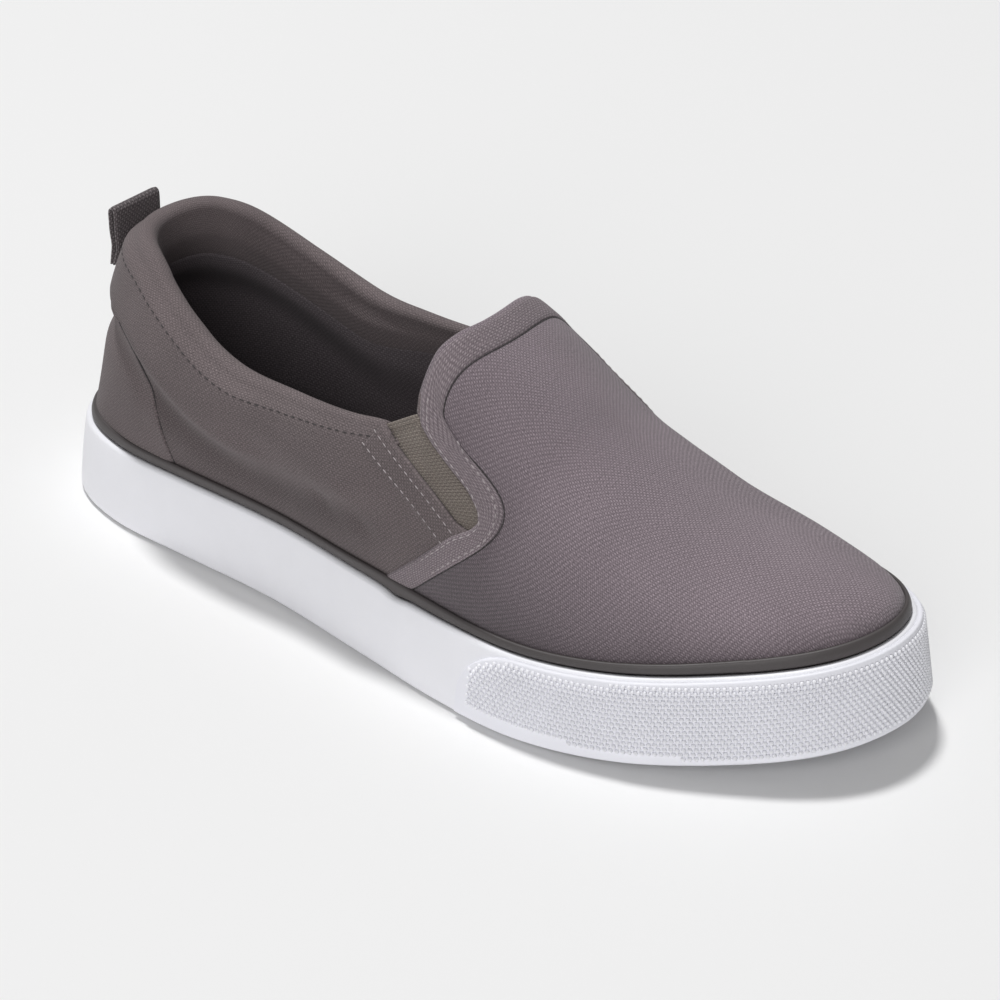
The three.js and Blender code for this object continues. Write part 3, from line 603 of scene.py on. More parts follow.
# Soft troughs and ridges: the side of the shoe (0 for both), how far along and how high the middle is,
# the length, the reach across it, the depth (all in mm), and the angle of its length above the sole
creases = [
    (-1, 92, 44, 26, 5, 0.8, -14),
    (-1, 112, 39, 13, 3.2, 0.9, -38),
    (-1, 121, 45, 12, 3, -0.6, -42),
    (-1, 128, 37, 10, 2.6, 0.7, -40),
    (-1, 70, 33, 22, 6, 0.6, 8),
    (1, 95, 43, 26, 5, 0.8, -12),
    (1, 118, 38, 14, 3.4, 0.8, -36),
    (1, 66, 34, 20, 6, 0.5, 6),
    (0, 176, 60, 40, 5, 0.35, 80),
    (0, 190, 52, 40, 6, -0.25, 80),
]


def creaseDepth(points):
    depth = np.zeros(points.shape[:-1])
    for side, x, z, length, reach, deep, degrees in creases:
        angle = math.radians(degrees)
        dx, dz = points[..., 0] - x, points[..., 2] - z
        along = dx * math.cos(angle) + dz * math.sin(angle)
        across = dz * math.cos(angle) - dx * math.sin(angle)
        shape = bump(along, 0, length / 2) * bump(across, 0, reach)
        if side:
            shape = shape * smooth(-6, 6, side * points[..., 1])
        depth += deep * shape
    return depth


def filledIn(values, gaps, count):
    # sets more meridians between two that stand far apart
    parts, start = [], 0
    shares = np.linspace(0, 1, count + 2)[1:-1].reshape([-1] + [1] * (values.ndim - 1))
    for gap in gaps:
        parts += [values[start:gap + 1], values[gap] * (1 - shares) + values[gap + 1] * shares]
        start = gap + 1
    return np.concatenate(parts + [values[start:]])


evenlyTurned = evenTurns(cloth["turns"])
onCollar = shareOf(stationAt(evenlyTurned)) <= collarRows["at"][-1]
throatGaps = np.where(onCollar[:-1] != onCollar[1:])[0]
turns, skinPoints, edgeDistance, skinTurns, skinClimbs = [
    filledIn(values, throatGaps, cloth["gapTurns"])
    for values in (evenlyTurned, *skinGrid(evenlyTurned, cloth["lowRows"], cloth["highRows"]))]
skinNormals = ringNormals(skinPoints)
pads = padShape(edgeDistance) * padAmount(turns)[:, None]
valley = bump(edgeDistance, shoe["padDepth"] + 3, cloth["valleyReach"]) * padAmount(turns)[:, None]
skin = skinPoints + skinNormals * (shoe["padPuff"] * pads - cloth["padValley"] * valley
                                   - creaseDepth(skinPoints))[..., None]
normals = ringNormals(skin)
skinRows, allTurns = skin.shape[1], np.arange(len(turns))
skinFaces = ringFaces(len(turns), skinRows, False)
flatSkin, flatNormals = skin.reshape(-1, 3), normals.reshape(-1, 3)
skinTree = BVHTree.FromPolygons(flatSkin.tolist(), skinFaces.tolist())


def normalNear(point, face):
    corners = skinFaces[face]
    weights = 1 / (np.linalg.norm(flatSkin[corners] - point, axis=1) + 0.05)
    normal = (flatNormals[corners] * weights[:, None]).sum(axis=0)
    return normal / np.linalg.norm(normal)


def onSkin(points):
    # nearest points of the skin and its normals there
    found, ups = [], []
    for point in np.asarray(points, float).reshape(-1, 3):
        spot, _, face, _ = skinTree.find_nearest(Vector(point))
        found.append(spot[:])
        ups.append(normalNear(np.array(spot), face))
    return np.array(found), np.array(ups)


def fromSide(sidePoints, side):
    # points of the skin that are seen from one side at these x and z
    found = []
    for x, z in sidePoints:
        spot, _, face, _ = skinTree.ray_cast(Vector((x, side * 200.0, z)), Vector((0, -side, 0)))
        if face is None:
            spot = skinTree.find_nearest(Vector((x, side * 30.0, z)))[0]
        found.append(spot[:])
    return np.array(found)


def resample(points, count):
    points = np.asarray(points, float)
    lengths = runLengths(points)
    at = np.linspace(0, lengths[-1], count)
    return np.stack([np.interp(at, lengths, points[:, k]) for k in range(points.shape[1])], axis=1)


def relaxed(points, times):
    points = np.array(points, float)
    for _ in range(times):
        points[1:-1] = points[1:-1] / 2 + (points[2:] + points[:-2]) / 4
    return points


# The slot for the elastic, seen from the side, in millimetres
slotRear = [(132.7, 67.9), (143.2, 60.0), (151.0, 55.3), (158.0, 50.2)]
slotFront = [(142.4, 71.8), (148.4, 67.0), (155.0, 62.2), (160.5, 58.2), (164.4, 54.0), (165.4, 51.1),
             (163.3, 48.6)]
slotOpenTop = [(141.9, 75.6), (128.0, 71.2)]
slotHem = 0.6      # how far the canvas is cut back under the sewn bands
slotSnap = 2.5     # how far a point of the canvas may move to lie on the slot's edge


def grown(outline, distance):
    # the outline moved outwards
    points = np.array(outline, float)
    before, after = points - np.roll(points, 1, axis=0), np.roll(points, -1, axis=0) - points
    out = np.zeros_like(points)
    for run in (before, after):
        run = run / np.linalg.norm(run, axis=1, keepdims=True)
        out += np.stack([run[:, 1], -run[:, 0]], axis=1)
    out /= np.linalg.norm(out, axis=1, keepdims=True)
    area = np.sum(points[:, 0] * np.roll(points[:, 1], -1) - np.roll(points[:, 0], -1) * points[:, 1])
    return points + out * distance * np.sign(area)


slotOutline = grown(slotRear + slotFront[::-1] + slotOpenTop, slotHem)


def insideOutline(x, z, outline):
    inside = np.zeros(x.shape, dtype=bool)
    for (x0, z0), (x1, z1) in zip(outline, np.roll(outline, -1, axis=0)):
        crosses = ((z0 > z) != (z1 > z)) & (x < (x1 - x0) * (z - z0) / (z1 - z0 + 1e-12) + x0)
        inside ^= crosses
    return inside


def nearestOnOutline(point, outline):
    best, bestDistance = None, 1e9
    for a, b in zip(outline, np.roll(outline, -1, axis=0)):
        t = np.clip(np.dot(point - a, b - a) / np.dot(b - a, b - a), 0, 1)
        spot = a + (b - a) * t
        distance = np.linalg.norm(spot - point)
        if distance < bestDistance:
            best, bestDistance = spot, distance
    return best


def cutShell(loops, pathSize):
    # loops hold a path and, turned back, its other face. The slots are cut through both and walled.
    count, size = loops.shape[:2]
    path = loops[:, :pathSize]
    pairs = path + np.roll(path, -1, axis=0)
    centres = pairs[:, :-1] / 4 + pairs[:, 1:] / 4
    gone = insideOutline(centres[..., 0], centres[..., 2], slotOutline)
    keep = np.ones((count, size), dtype=bool)
    keep[:, :pathSize - 1] = ~gone
    keep[:, pathSize:size - 1] = ~gone[:, ::-1]
    keep[:, pathSize - 1] = ~gone[:, -1]
    keep[:, size - 1] = ~gone[:, 0]
    faces = ringFaces(count, size).reshape(count, size, 4)
    walls, moved = [], set()
    for i, j in zip(*np.where(gone)):
        after = (i + 1) % count
        edges = [((i - 1) % count, j, (i, j), (i, j + 1)), (after, j, (after, j + 1), (after, j)),
                 (i, j - 1, (after, j), (i, j)), (i, j + 1, (i, j + 1), (after, j + 1))]
        for ni, nj, first, second in edges:
            if nj < 0 or nj >= pathSize - 1 or gone[ni, nj]:
                continue
            back = [(a, size - 1 - b) for a, b in (first, second)]
            corners = [first, second, back[1], back[0]]
            walls.append([a * size + b for a, b in corners])
            moved.update([first, second])
    for i, j in moved:
        spot = loops[i, j]
        target = nearestOnOutline(spot[[0, 2]], slotOutline)
        shift = np.array([target[0] - spot[0], 0, target[1] - spot[2]])
        if np.linalg.norm(shift) < slotSnap:
            loops[i, j] = spot + shift
            loops[i, size - 1 - j] += shift
    return faces[keep].tolist() + walls


def lookUp(table, rows, columns):
    # reads a table between its entries, at fractional rows and columns
    i = np.clip(np.floor(rows).astype(int), 0, table.shape[0] - 2)
    j = np.clip(np.floor(columns).astype(int), 0, table.shape[1] - 2)
    a, b = rows - i, columns - j
    first = table[i, j] * (1 - b) + table[i, j + 1] * b
    second = table[i + 1, j] * (1 - b) + table[i + 1, j + 1] * b
    return first * (1 - a) + second * a


# Where the ridge's extra length stops growing, the station where it is nothing, where it fades sideways,
# and how finely the last is sampled for it
vampMap = {"toeLimit": 0.93, "level": 1.6, "fade": (8, 50), "stations": 240, "climbs": 60}


def vampUv(points, around, climb):
    # millimetres along the ridge and out from it, so that the vamp's threads run straight down its middle
    stations, climbs = np.linspace(0, math.pi, vampMap["stations"]), np.linspace(0, 1, vampMap["climbs"])
    station = stationAt(around)
    spot = station / math.pi * (len(stations) - 1), climb * (len(climbs) - 1)
    outer, inner = [-lookUp(runLengths(lastPoint(way[:, None], climbs[None])[:, ::-1])[:, ::-1], *spot)
                    for way in (stations, 2 * math.pi - stations)]
    v = np.where(sideAt(around) < 0, outer, -inner)
    ridge = lastPoint(stations, np.ones_like(stations))
    extra = runLengths(ridge) - ridge[:, 0]       # how much longer the ridge is than its shadow
    mostly, least = np.interp([stationOf(vampMap["toeLimit"]), vampMap["level"]], stations, extra)
    extra = np.minimum(np.interp(station, stations, extra), mostly) - least
    u = points[..., 0] + extra * (1 - smooth(*vampMap["fade"], np.abs(v)))
    return np.stack([u, v], axis=-1)


def prolonged(uv, points):
    # carries a map on over the rows that follow, along each meridian
    rows = uv.shape[1]
    heading = uv[:, -1] - uv[:, -2]
    heading = heading / (np.linalg.norm(heading, axis=-1, keepdims=True) + 1e-9)
    run = runLengths(points[:, rows - 1:])[:, 1:, None]
    return np.concatenate([uv, uv[:, -1:] + heading[:, None] * run], axis=1)


# The seam between quarter and vamp, under the facing, seen from the side
vampStart = {
    "z": [15, 22, 33, 43, 46.5, 50, 53, 57.5, 61.5, 66.5, 71, 95],
    "x": [129, 137.5, 150, 161, 166, 168.5, 168, 164.5, 159.5, 152.5, 146.5, 130],
}


def clothUv(points):
    # millimetres round the shoe from the middle of the heel, and up its section, so that the threads
    # run round the heel, and along and across on the sides
    run = np.interp(turns, fineTurns, outlineRun)
    run = np.minimum(run, outlineRun[-1] - run)[:, None]
    onSide = smooth(0.02, 0.25, shareOf(stationAt(turns)))[:, None]
    run = run + onSide * (points[..., 0] - soleOutline(turns)[:, :1])
    section = points.copy()
    section[..., 0] *= 1 - onSide
    return np.stack([-sideAt(turns)[:, None] * run, runLengths(section)], axis=-1)


# Upper's canvas: up the outside, over the rim and down inside the collar, with a back face
thickness = cloth["thickness"]
topPoint, topNormal = skin[:, -1], normals[:, -1]
tangent = skin[:, -1] - skin[:, -2]
tangent /= np.linalg.norm(tangent, axis=-1, keepdims=True)
rims = rimThickness(turns)[:, None]


def rimArc(radiusCut, count):
    # half circle from the outer face over to the inner one
    centre = topPoint - topNormal * rims / 2
    angles = np.linspace(0, math.pi, count + 2)[1:-1]
    radius = rims / 2 - radiusCut
    rim = [centre + (topNormal * math.cos(a) + tangent * math.sin(a)) * radius for a in angles]
    return np.stack(rim, axis=1)


def rowsBelow(meridians, distances):
    # fractional rows of these meridians at distances below the edge
    rows = np.arange(skinRows)[::-1]
    return np.array([np.interp(d, edgeDistance[i][::-1], rows) for i, d in zip(meridians, distances)])


def innerFace(distance):
    # the wall's inside at a distance below the edge, padding and rim included
    at = rowsBelow(allTurns, distance)
    point, normal = [atRows(grid, allTurns[:, None], at) for grid in (skinPoints, skinNormals)]
    thin, swell = shoe["clothThickness"], smooth(0, shoe["padSwell"], distance)
    padded = swell * (1 - smooth(*cloth["thinned"], distance)) * padAmount(turns)[:, None]
    wall = thin + (shoe["padThickness"] - thin) * padded + (rims - thin) * (1 - swell)
    return point, normal, wall[..., None]


rollDepth = cloth["rollVamp"] + (cloth["rollHeel"] - cloth["rollVamp"]) * padAmount(turns)
rollDistances = rollDepth[:, None] * np.linspace(0, 1, cloth["rollRows"])[None]
rollPoint, rollNormal, rollWall = innerFace(rollDistances)
# the turned edge dives under the lining
rollWall = rollWall - thickness * smooth(0.8, 1, np.linspace(0, 1, cloth["rollRows"]))[None, :, None]
frontPath = np.concatenate([skin, rimArc(0, cloth["rimRows"]), rollPoint - rollNormal * rollWall], axis=1)
backPath = np.concatenate([skin - normals * thickness, rimArc(thickness, cloth["rimRows"]),
                           rollPoint - rollNormal * (rollWall - thickness)], axis=1)
canvasLoops = np.concatenate([frontPath, backPath[:, ::-1]], axis=1)
canvasFaces = cutShell(canvasLoops, frontPath.shape[1])
clothMaps = clothUv(frontPath), prolonged(vampUv(skin, skinTurns, skinClimbs), frontPath)
maps = [np.concatenate([each, each[:, ::-1]], axis=1).reshape(-1, 2) for each in clothMaps]
canvasPoints, corners = canvasLoops.reshape(-1, 3), np.array(canvasFaces)
middles = canvasPoints[corners].mean(axis=1)
onVamp = middles[:, 0] > np.interp(middles[:, 2], vampStart["z"], vampStart["x"])
# Painted shade: the canvas under the padding's lower edge and in the hollow below it is darkened, fading out
# towards the vamp
below = 0.55 * smooth(shoe["padDepth"] - 2, shoe["padDepth"] + 4, edgeDistance)
below += 0.45 * bump(edgeDistance, shoe["padDepth"] + 4, 6)
below *= 1 - smooth(0.46, 0.56, shareOf(stationAt(skinTurns)))
paintedShade = np.zeros(canvasLoops.shape[:2])
paintedShade[:, :skinRows] = cloth["underPadShade"] * below
upperCanvas = makePiece("upperCanvas", canvasPoints, canvasFaces, quarterCanvas, paintedShade=paintedShade,
                        cornerUv=np.where(onVamp[:, None, None], maps[1][corners], maps[0][corners]))
upperCanvas.data.materials.append(vampCanvas)
upperCanvas.data.polygons.foreach_set("material_index", onVamp.astype(np.int32))
settle(upperCanvas, "canvas", "upper")
print("stage: canvas made", len(canvasFaces))

# Lining: from under the canvas's turned edge down to the insole
lining = {"rows": 40, "thickness": 0.8, "gap": 0.05, "overlap": 2.0, "foot": 10.5}
lineTop = (rollDepth - lining["overlap"])[:, None]
lineDistance = lineTop + np.linspace(0, 1, lining["rows"])[None] * (edgeDistance[:, :1] - lineTop)
linePoint, lineNormal, lineWall = innerFace(lineDistance)
liningDepth = upperDepth + shoe["clothThickness"]
lineInner, lineOuter = [
    np.concatenate([linePoint - lineNormal * (lineWall - gap),
                    wallPoint(turns, liningDepth - ply, lining["foot"])[:, None]], axis=1)
    for gap, ply in ((lining["gap"], 0), (2 * lining["gap"] + lining["thickness"], lining["thickness"]))]
lineLoops = np.concatenate([lineOuter[:, ::-1], lineInner], axis=1)
lineFaces = cutShell(lineLoops, lineOuter.shape[1])
lineUv = clothUv(lineOuter[:, ::-1])
upperLining = makePiece("upperLining", lineLoops.reshape(-1, 3), lineFaces, liningCloth,
                        uv=np.concatenate([lineUv, lineUv[:, ::-1]], axis=1).reshape(-1, 2))
settle(upperLining, "lining_cloth")
print("stage: lining made", len(lineFaces))

# Sock liner over the insole: cloth on foam, dished a little under the foot
footbed = {"foot": 9.3, "thickness": 3.2, "dish": 0.8, "dishReach": (3, 25), "edgeRound": 1.0,
           "rows": 170, "columns": 56, "tip": 0.03}
bedDepth = liningDepth + shoe["seamGap"]
bedStations = np.linspace(footbed["tip"], math.pi - footbed["tip"], footbed["rows"])
bedShares = (1 - np.cos(np.linspace(0, math.pi, footbed["columns"]))) / 2


def bedLayer(height):
    outer = wallPoint(bedStations, bedDepth, height)[:, None]
    inner = wallPoint(2 * math.pi - bedStations, bedDepth, height)[:, None]
    return outer + (inner - outer) * bedShares[None, :, None]


bedTop = bedLayer(footbed["foot"] + footbed["thickness"])
bedWidth = np.linalg.norm(bedTop[:, -1] - bedTop[:, 0], axis=-1)[:, None]
fromRim = np.minimum(bedShares, 1 - bedShares)[None] * bedWidth
rolledOff = 1 - np.sqrt(1 - (1 - np.clip(fromRim / footbed["edgeRound"], 0, 1)) ** 2)
bedTop[..., 2] -= footbed["edgeRound"] * rolledOff + footbed["dish"] * smooth(*footbed["dishReach"], fromRim)
bedPoints, bedFaces = slab(bedTop, bedLayer(footbed["foot"]))
sockLiner = makePiece("sockLiner", bedPoints, bedFaces, liningCloth, uv=bedPoints[:, :2])
settle(sockLiner, "lining_cloth", "insole")

# Sidewall: the white foxing strip, with a slight dip where the vamp's seam runs under it
foxing = {"turns": 520, "foot": 0.6, "round": 1.0, "dipAt": 139, "dipReach": 4, "dip": 0.8, "swell": 0.25}
foxTurns = evenTurns(foxing["turns"])


def topDip(turn):
    return foxing["dip"] * bump(soleOutline(turn)[..., 0], foxing["dipAt"], foxing["dipReach"])


def arc(centreDepth, centreHeight, radius, start, end, count):
    # points of a rounded edge as depth and height
    angles = np.radians(np.linspace(start, end, count))
    return [(centreDepth - radius * math.cos(a), centreHeight + radius * math.sin(a)) for a in angles]


def wallBand(turn, back, face, foot, top, radius, steps, shares, swell=0.0):
    # section of a band on the sidewall: how deep its back and face lie, and how high its foot and top are
    profile = [(back, foot)] + arc(face + radius, foot + radius, radius, -90, 0, steps)
    profile += [(face - swell * math.sin(math.pi * share), foot + radius + (top - foot - 2 * radius) * share)
                for share in shares]
    profile += [(depth, top + height) for depth, height in arc(face + radius, -radius, radius, 0, 90, steps)]
    return np.stack([wallPoint(turn, depth, height) for depth, height in profile + [(back, top)]], axis=1)


foxLoops = wallBand(foxTurns, shoe["foxingThickness"], 0.0, foxing["foot"],
                    wallTop(foxTurns) - topDip(foxTurns), foxing["round"], 6, np.linspace(0.12, 0.88, 8),
                    foxing["swell"])
settle(makePiece("foxingBand", foxLoops.reshape(-1, 3), ringFaces(*foxLoops.shape[:2]), whiteRubber),
       "white_rubber", "foxing")

# Dark stripe laid against the canvas on top of the foxing
stripe = {
    "height": 3.2,
    "thickness": 1.0,
    "clear": 0.25,       # above the foxing's top
    # section: how far out and how high, as shares of the thickness and height
    "section": [(0.0, 0.02), (0.5, 0.02), (0.85, 0.1), (1.0, 0.28), (1.02, 0.5), (0.98, 0.72), (0.82, 0.9),
                (0.5, 0.985), (0.0, 1.0)],
}


def stripeLoop():
    foot = skin[:, 0]
    stripeTop = stripe["height"] + 2 * shoe["seamGap"]
    at = rowsBelow(allTurns, edgeDistance[:, 0] - stripeTop)
    upper, normal = atRows(skin, allTurns, at), normals[allTurns, at.astype(int)]
    rows = []
    for out, up in stripe["section"]:
        row = foot * (1 - up) + upper * up + normal * (shoe["seamGap"] + stripe["thickness"] * out)
        row[:, 2] += (stripe["clear"] - topDip(turns)) * (1 - up)
        rows.append(row)
    return np.stack(rows + [(foot + upper) / 2 - normal * 0.2], axis=1)


stripeLoops = stripeLoop()
settle(makePiece("stripeBand", stripeLoops.reshape(-1, 3), ringFaces(*stripeLoops.shape[:2]), stripeRubber),
       "dark_rubber", "foxing_stripe")
print("stage: sidewall and stripe made")


# Geometry Nodes: beads of thread along runs of edges, and studs on points
def nodeGroup(name, ports):
    tree = bpy.data.node_groups.new(name, "GeometryNodeTree")
    tree.interface.new_socket(name="Geometry", in_out="INPUT", socket_type="NodeSocketGeometry")
    for port, kind, value in ports:
        socket = tree.interface.new_socket(name=port, in_out="INPUT", socket_type=kind)
        if value is not None:
            socket.default_value = value
    tree.interface.new_socket(name="Geometry", in_out="OUTPUT", socket_type="NodeSocketGeometry")
    return tree, addNode(tree, "NodeGroupInput").outputs


def endGroup(tree, geometry, material):
    real = addNode(tree, "GeometryNodeRealizeInstances", {0: geometry}).outputs[0]
    shaded = addNode(tree, "GeometryNodeSetShadeSmooth", {0: real}).outputs[0]
    painted = addNode(tree, "GeometryNodeSetMaterial", {0: shaded, "Material": material}).outputs[0]
    addNode(tree, "NodeGroupOutput", {0: painted})


def stitchTree():
    ports = [("Spacing", "NodeSocketFloat", 0.003), ("Length", "NodeSocketFloat", 0.0022),
             ("Thickness", "NodeSocketFloat", 0.0005), ("Material", "NodeSocketMaterial", None)]
    tree, given = nodeGroup("stitchRun", ports)
    run = addNode(tree, "GeometryNodeMeshToCurve", {0: given["Geometry"]}).outputs[0]
    points = addNode(tree, "GeometryNodeCurveToPoints", {0: run, "Length": given["Spacing"]}, mode="LENGTH")
    turned = addNode(tree, "FunctionNodeAlignRotationToVector", {"Vector": points.outputs["Tangent"]},
                     axis="X")
    bead = addNode(tree, "GeometryNodeMeshUVSphere", {"Segments": 8, "Rings": 6, "Radius": 0.5}).outputs[0]
    size = addNode(tree, "ShaderNodeCombineXYZ",
                   {0: given["Length"], 1: given["Thickness"], 2: given["Thickness"]})
    placed = addNode(tree, "GeometryNodeInstanceOnPoints", {
        "Points": points.outputs["Points"], "Instance": bead,
        "Rotation": turned.outputs[0], "Scale": size.outputs[0]})
    endGroup(tree, placed.outputs[0], given["Material"])
    return tree


def domeTree():
    ports = [("Width", "NodeSocketFloat", 0.0012), ("Height", "NodeSocketFloat", 0.0004),
             ("Material", "NodeSocketMaterial", None)]
    tree, given = nodeGroup("domeField", ports)
    up = addNode(tree, "GeometryNodeInputNamedAttribute", {"Name": "up"}, data_type="FLOAT_VECTOR").outputs[0]
    along = addNode(tree, "GeometryNodeInputNamedAttribute", {"Name": "along"},
                    data_type="FLOAT_VECTOR").outputs[0]
    first = addNode(tree, "FunctionNodeAlignRotationToVector", {"Vector": up}, axis="Z").outputs[0]
    turned = addNode(tree, "FunctionNodeAlignRotationToVector", {"Rotation": first, "Vector": along},
                     axis="X", pivot_axis="Z")
    stud = addNode(tree, "GeometryNodeMeshCone", {"Vertices": 6, "Side Segments": 2, "Radius Top": 0.22,
                                                  "Radius Bottom": 0.56, "Depth": 1.0})
    size = addNode(tree, "ShaderNodeCombineXYZ", {0: given["Width"], 1: given["Width"], 2: given["Height"]})
    placed = addNode(tree, "GeometryNodeInstanceOnPoints", {
        "Points": given["Geometry"], "Instance": stud.outputs[0],
        "Rotation": turned.outputs[0], "Scale": size.outputs[0]})
    endGroup(tree, placed.outputs[0], given["Material"])
    return tree


def runNodes(name, tree, points, edges, attributes, values):
    # puts the tree on a mesh of points or edges, and keeps the evaluated result as a plain mesh
    mesh = bpy.data.meshes.new(name + "Guide")
    mesh.from_pydata(place(points).tolist(), edges, [])
    for key, vectors in attributes.items():
        layer = mesh.attributes.new(key, "FLOAT_VECTOR", "POINT")
        layer.data.foreach_set("vector", np.asarray(vectors, dtype=np.float32).ravel())
    guide = bpy.data.objects.new(name, mesh)
    bpy.context.collection.objects.link(guide)
    modifier = guide.modifiers.new("nodes", "NODES")
    modifier.node_group = tree
    for item in tree.interface.items_tree:
        if item.in_out == "INPUT" and item.name in values:
            modifier[item.identifier] = values[item.name]
    bpy.context.view_layer.update()
    evaluated = guide.evaluated_get(bpy.context.evaluated_depsgraph_get())
    made = bpy.data.meshes.new_from_object(evaluated)
    guide.modifiers.clear()
    guide.data = made
    bpy.data.meshes.remove(mesh)
    return guide


stitchRun = stitchTree()
domeField = domeTree()


# Toe bumper: a thin cap over the foxing, with a lattice of small studs
bumper = {
    "start": 0.632,          # share of the sole's length where it begins
    "thickness": 0.6,
    "back": 0.3,             # how deep its back lies in the foxing
    "margin": 0.5,           # below the foxing's top
    "foot": 1.6,
    "round": 0.5,
    "endHeight": 8,          # how high its two ends are
    "corner": 20,            # length of its rounded ends
    "cornerTurns": 24,
    "turns": 300,
    "studAlong": 1.55,
    "studRow": 1.15,
    "studWidth": 1.25,
    "studHeight": 0.62,
    "studMargin": 0.9,       # between the highest studs and the bumper's top
    "studInset": 1.6,        # from the bumper's ends
    "studLift": 0.72,        # the lowest row above the bumper's foot
    "studStart": 168.8,      # how far along the shoe the lattice begins
    "studFoot": 5.0,         # height where it begins
    "studSamples": 3000,     # their spacing is measured along the sidewall with this many points
    "studLevel": 12.0,       # and at this height
    "studDrops": [(0.8, 190, 208), (1.8, 208, 248)],     # how the lattice's foot steps down towards the toe
}
startTurn = float(stationOf(bumper["start"]))
cornerTurn = bumper["corner"] / (shoe["soleLength"] / 2)


def bumperTop(turn):
    run = np.clip(np.minimum(turn - startTurn, 2 * math.pi - startTurn - turn) / cornerTurn, 0, 1)
    full = wallTop(turn) - bumper["margin"]
    return bumper["endHeight"] + (full - bumper["endHeight"]) * np.sqrt(1 - (1 - run) ** 2)


cornerTurns = startTurn + cornerTurn * (1 - np.cos(np.linspace(0, math.pi / 2, bumper["cornerTurns"])))
middleTurns = np.linspace(startTurn + cornerTurn, 2 * math.pi - startTurn - cornerTurn, bumper["turns"])[1:-1]
bumperTurns = np.concatenate([cornerTurns, middleTurns, (2 * math.pi - cornerTurns)[::-1]])
bumperFace = -foxing["swell"] - shoe["seamGap"] - bumper["thickness"]
bumperLoops = wallBand(bumperTurns, bumper["back"], bumperFace, bumper["foot"], bumperTop(bumperTurns),
                       bumper["round"], 5, np.linspace(0.1, 0.9, 9))
settle(makePiece("bumperBand", bumperLoops.reshape(-1, 3), tubeFaces(*bumperLoops.shape[:2]), bumperRubber),
       "white_rubber", "toe_bumper")

studTurns = np.linspace(startTurn, 2 * math.pi - startTurn, bumper["studSamples"])
studRun = runLengths(wallPoint(studTurns, bumperFace, bumper["studLevel"]))
studRows = []
for row in range(int((shoe["foxingHeight"] + shoe["foxingRise"]) / bumper["studRow"])):
    height = bumper["foot"] + bumper["studLift"] + row * bumper["studRow"]
    at = np.arange(bumper["studInset"] + bumper["studAlong"] / 2 * (row % 2),
                   studRun[-1] - bumper["studInset"], bumper["studAlong"])
    rowTurns = np.interp(at, studRun, studTurns)
    spots = wallPoint(rowTurns, bumperFace, height)
    x = spots[:, 0]
    drops = [drop * smooth(start, end, x) for drop, start, end in bumper["studDrops"]]
    keep = (height > bumper["studFoot"] - sum(drops)) & (x > bumper["studStart"])
    keep &= height < bumperTop(rowTurns) - bumper["studMargin"]
    outward = outwardAt(rowTurns)[keep]
    slope = np.full(len(outward), shoe["sidewallDraft"] / shoe["foxingHeight"])
    studRows.append([spots[keep], np.column_stack([outward, slope]),
                     np.column_stack([-outward[:, 1], outward[:, 0], 0 * slope])])
studPoints, studUps, studAlongs = [np.concatenate(parts) for parts in zip(*studRows)]
studs = runNodes("bumperStuds", domeField, studPoints, [], {"up": studUps, "along": studAlongs},
                 {"Width": bumper["studWidth"] / 1000, "Height": bumper["studHeight"] / 1000,
                  "Material": whiteRubber})
settle(studs, "white_rubber")
print("stage: toe bumper made", len(studPoints), "studs")

# Facing: the band round the vamp's edge, laid between the edge and its outer seam.
# Its edge and its outer seam as seen from the side, from the stripe up to the throat's corner.
facingEdge = [(124.3, 15.0), (132.4, 22.6), (146.0, 34.3), (158.7, 46.2), (163.3, 48.6), (165.4, 51.1),
              (164.4, 54.0), (160.5, 58.2), (155.0, 62.2), (148.4, 67.0), (143.9, 70.6)]
facingOuter = [(133.0, 14.0), (141.6, 21.8), (152.9, 32.1), (163.3, 41.2), (169.0, 46.1), (171.7, 50.7),
               (171.3, 54.9), (167.3, 59.3), (162.1, 63.3), (155.1, 68.6), (149.5, 72.9)]
facing = {
    "samples": 520,
    "sideSamples": 160,                     # of these on each side
    "overSamples": 60,                      # over the instep
    "width": 7.2,
    "height": 0.7,
    "edgeRelax": 2,                         # how many times its edge is evened out
    "seamRelax": 120,                       # and its outer seam
    "cornerSkip": 7,                        # the tight corners are left to the curve between
    "sewn": [(60, 165), (355, 460)],        # where pale stitches show
}


def throatCorner(side):
    wanted = np.array(slotFront[0])
    choice = np.where((sideAt(turns) == side) & (stationAt(turns) > 1.2))[0]
    distance = np.linalg.norm(skin[choice, -1][:, [0, 2]] - wanted, axis=1)
    return choice[np.argmin(distance)]


def facingLines():
    over = skin[throatCorner(-1) + 1:throatCorner(1), -1]
    along = relaxed(resample(over, facing["overSamples"]), 4)
    sideways = np.cross(np.gradient(along, axis=0), onSkin(along)[1])
    sideways /= np.linalg.norm(sideways, axis=1, keepdims=True)
    sideways *= np.sign(sideways[:, :1])      # towards the toe
    seamOver, _ = onSkin(along + sideways * facing["width"])
    skip, count = facing["cornerSkip"], facing["sideSamples"]
    lines = []
    for seen, middle in ((facingEdge, along[2:-2]), (facingOuter, seamOver[skip:-skip])):
        parts = [resample(fromSide(seen, -1), count), resample(middle, facing["samples"] - 2 * count),
                 resample(fromSide(seen, 1)[::-1], count)]
        lines.append(np.concatenate(parts))
    return lines


edgeLine, seamLine = facingLines()
edgeLine = relaxed(edgeLine, facing["edgeRelax"])
seamLine = relaxed(resample(seamLine, facing["samples"]), facing["seamRelax"])
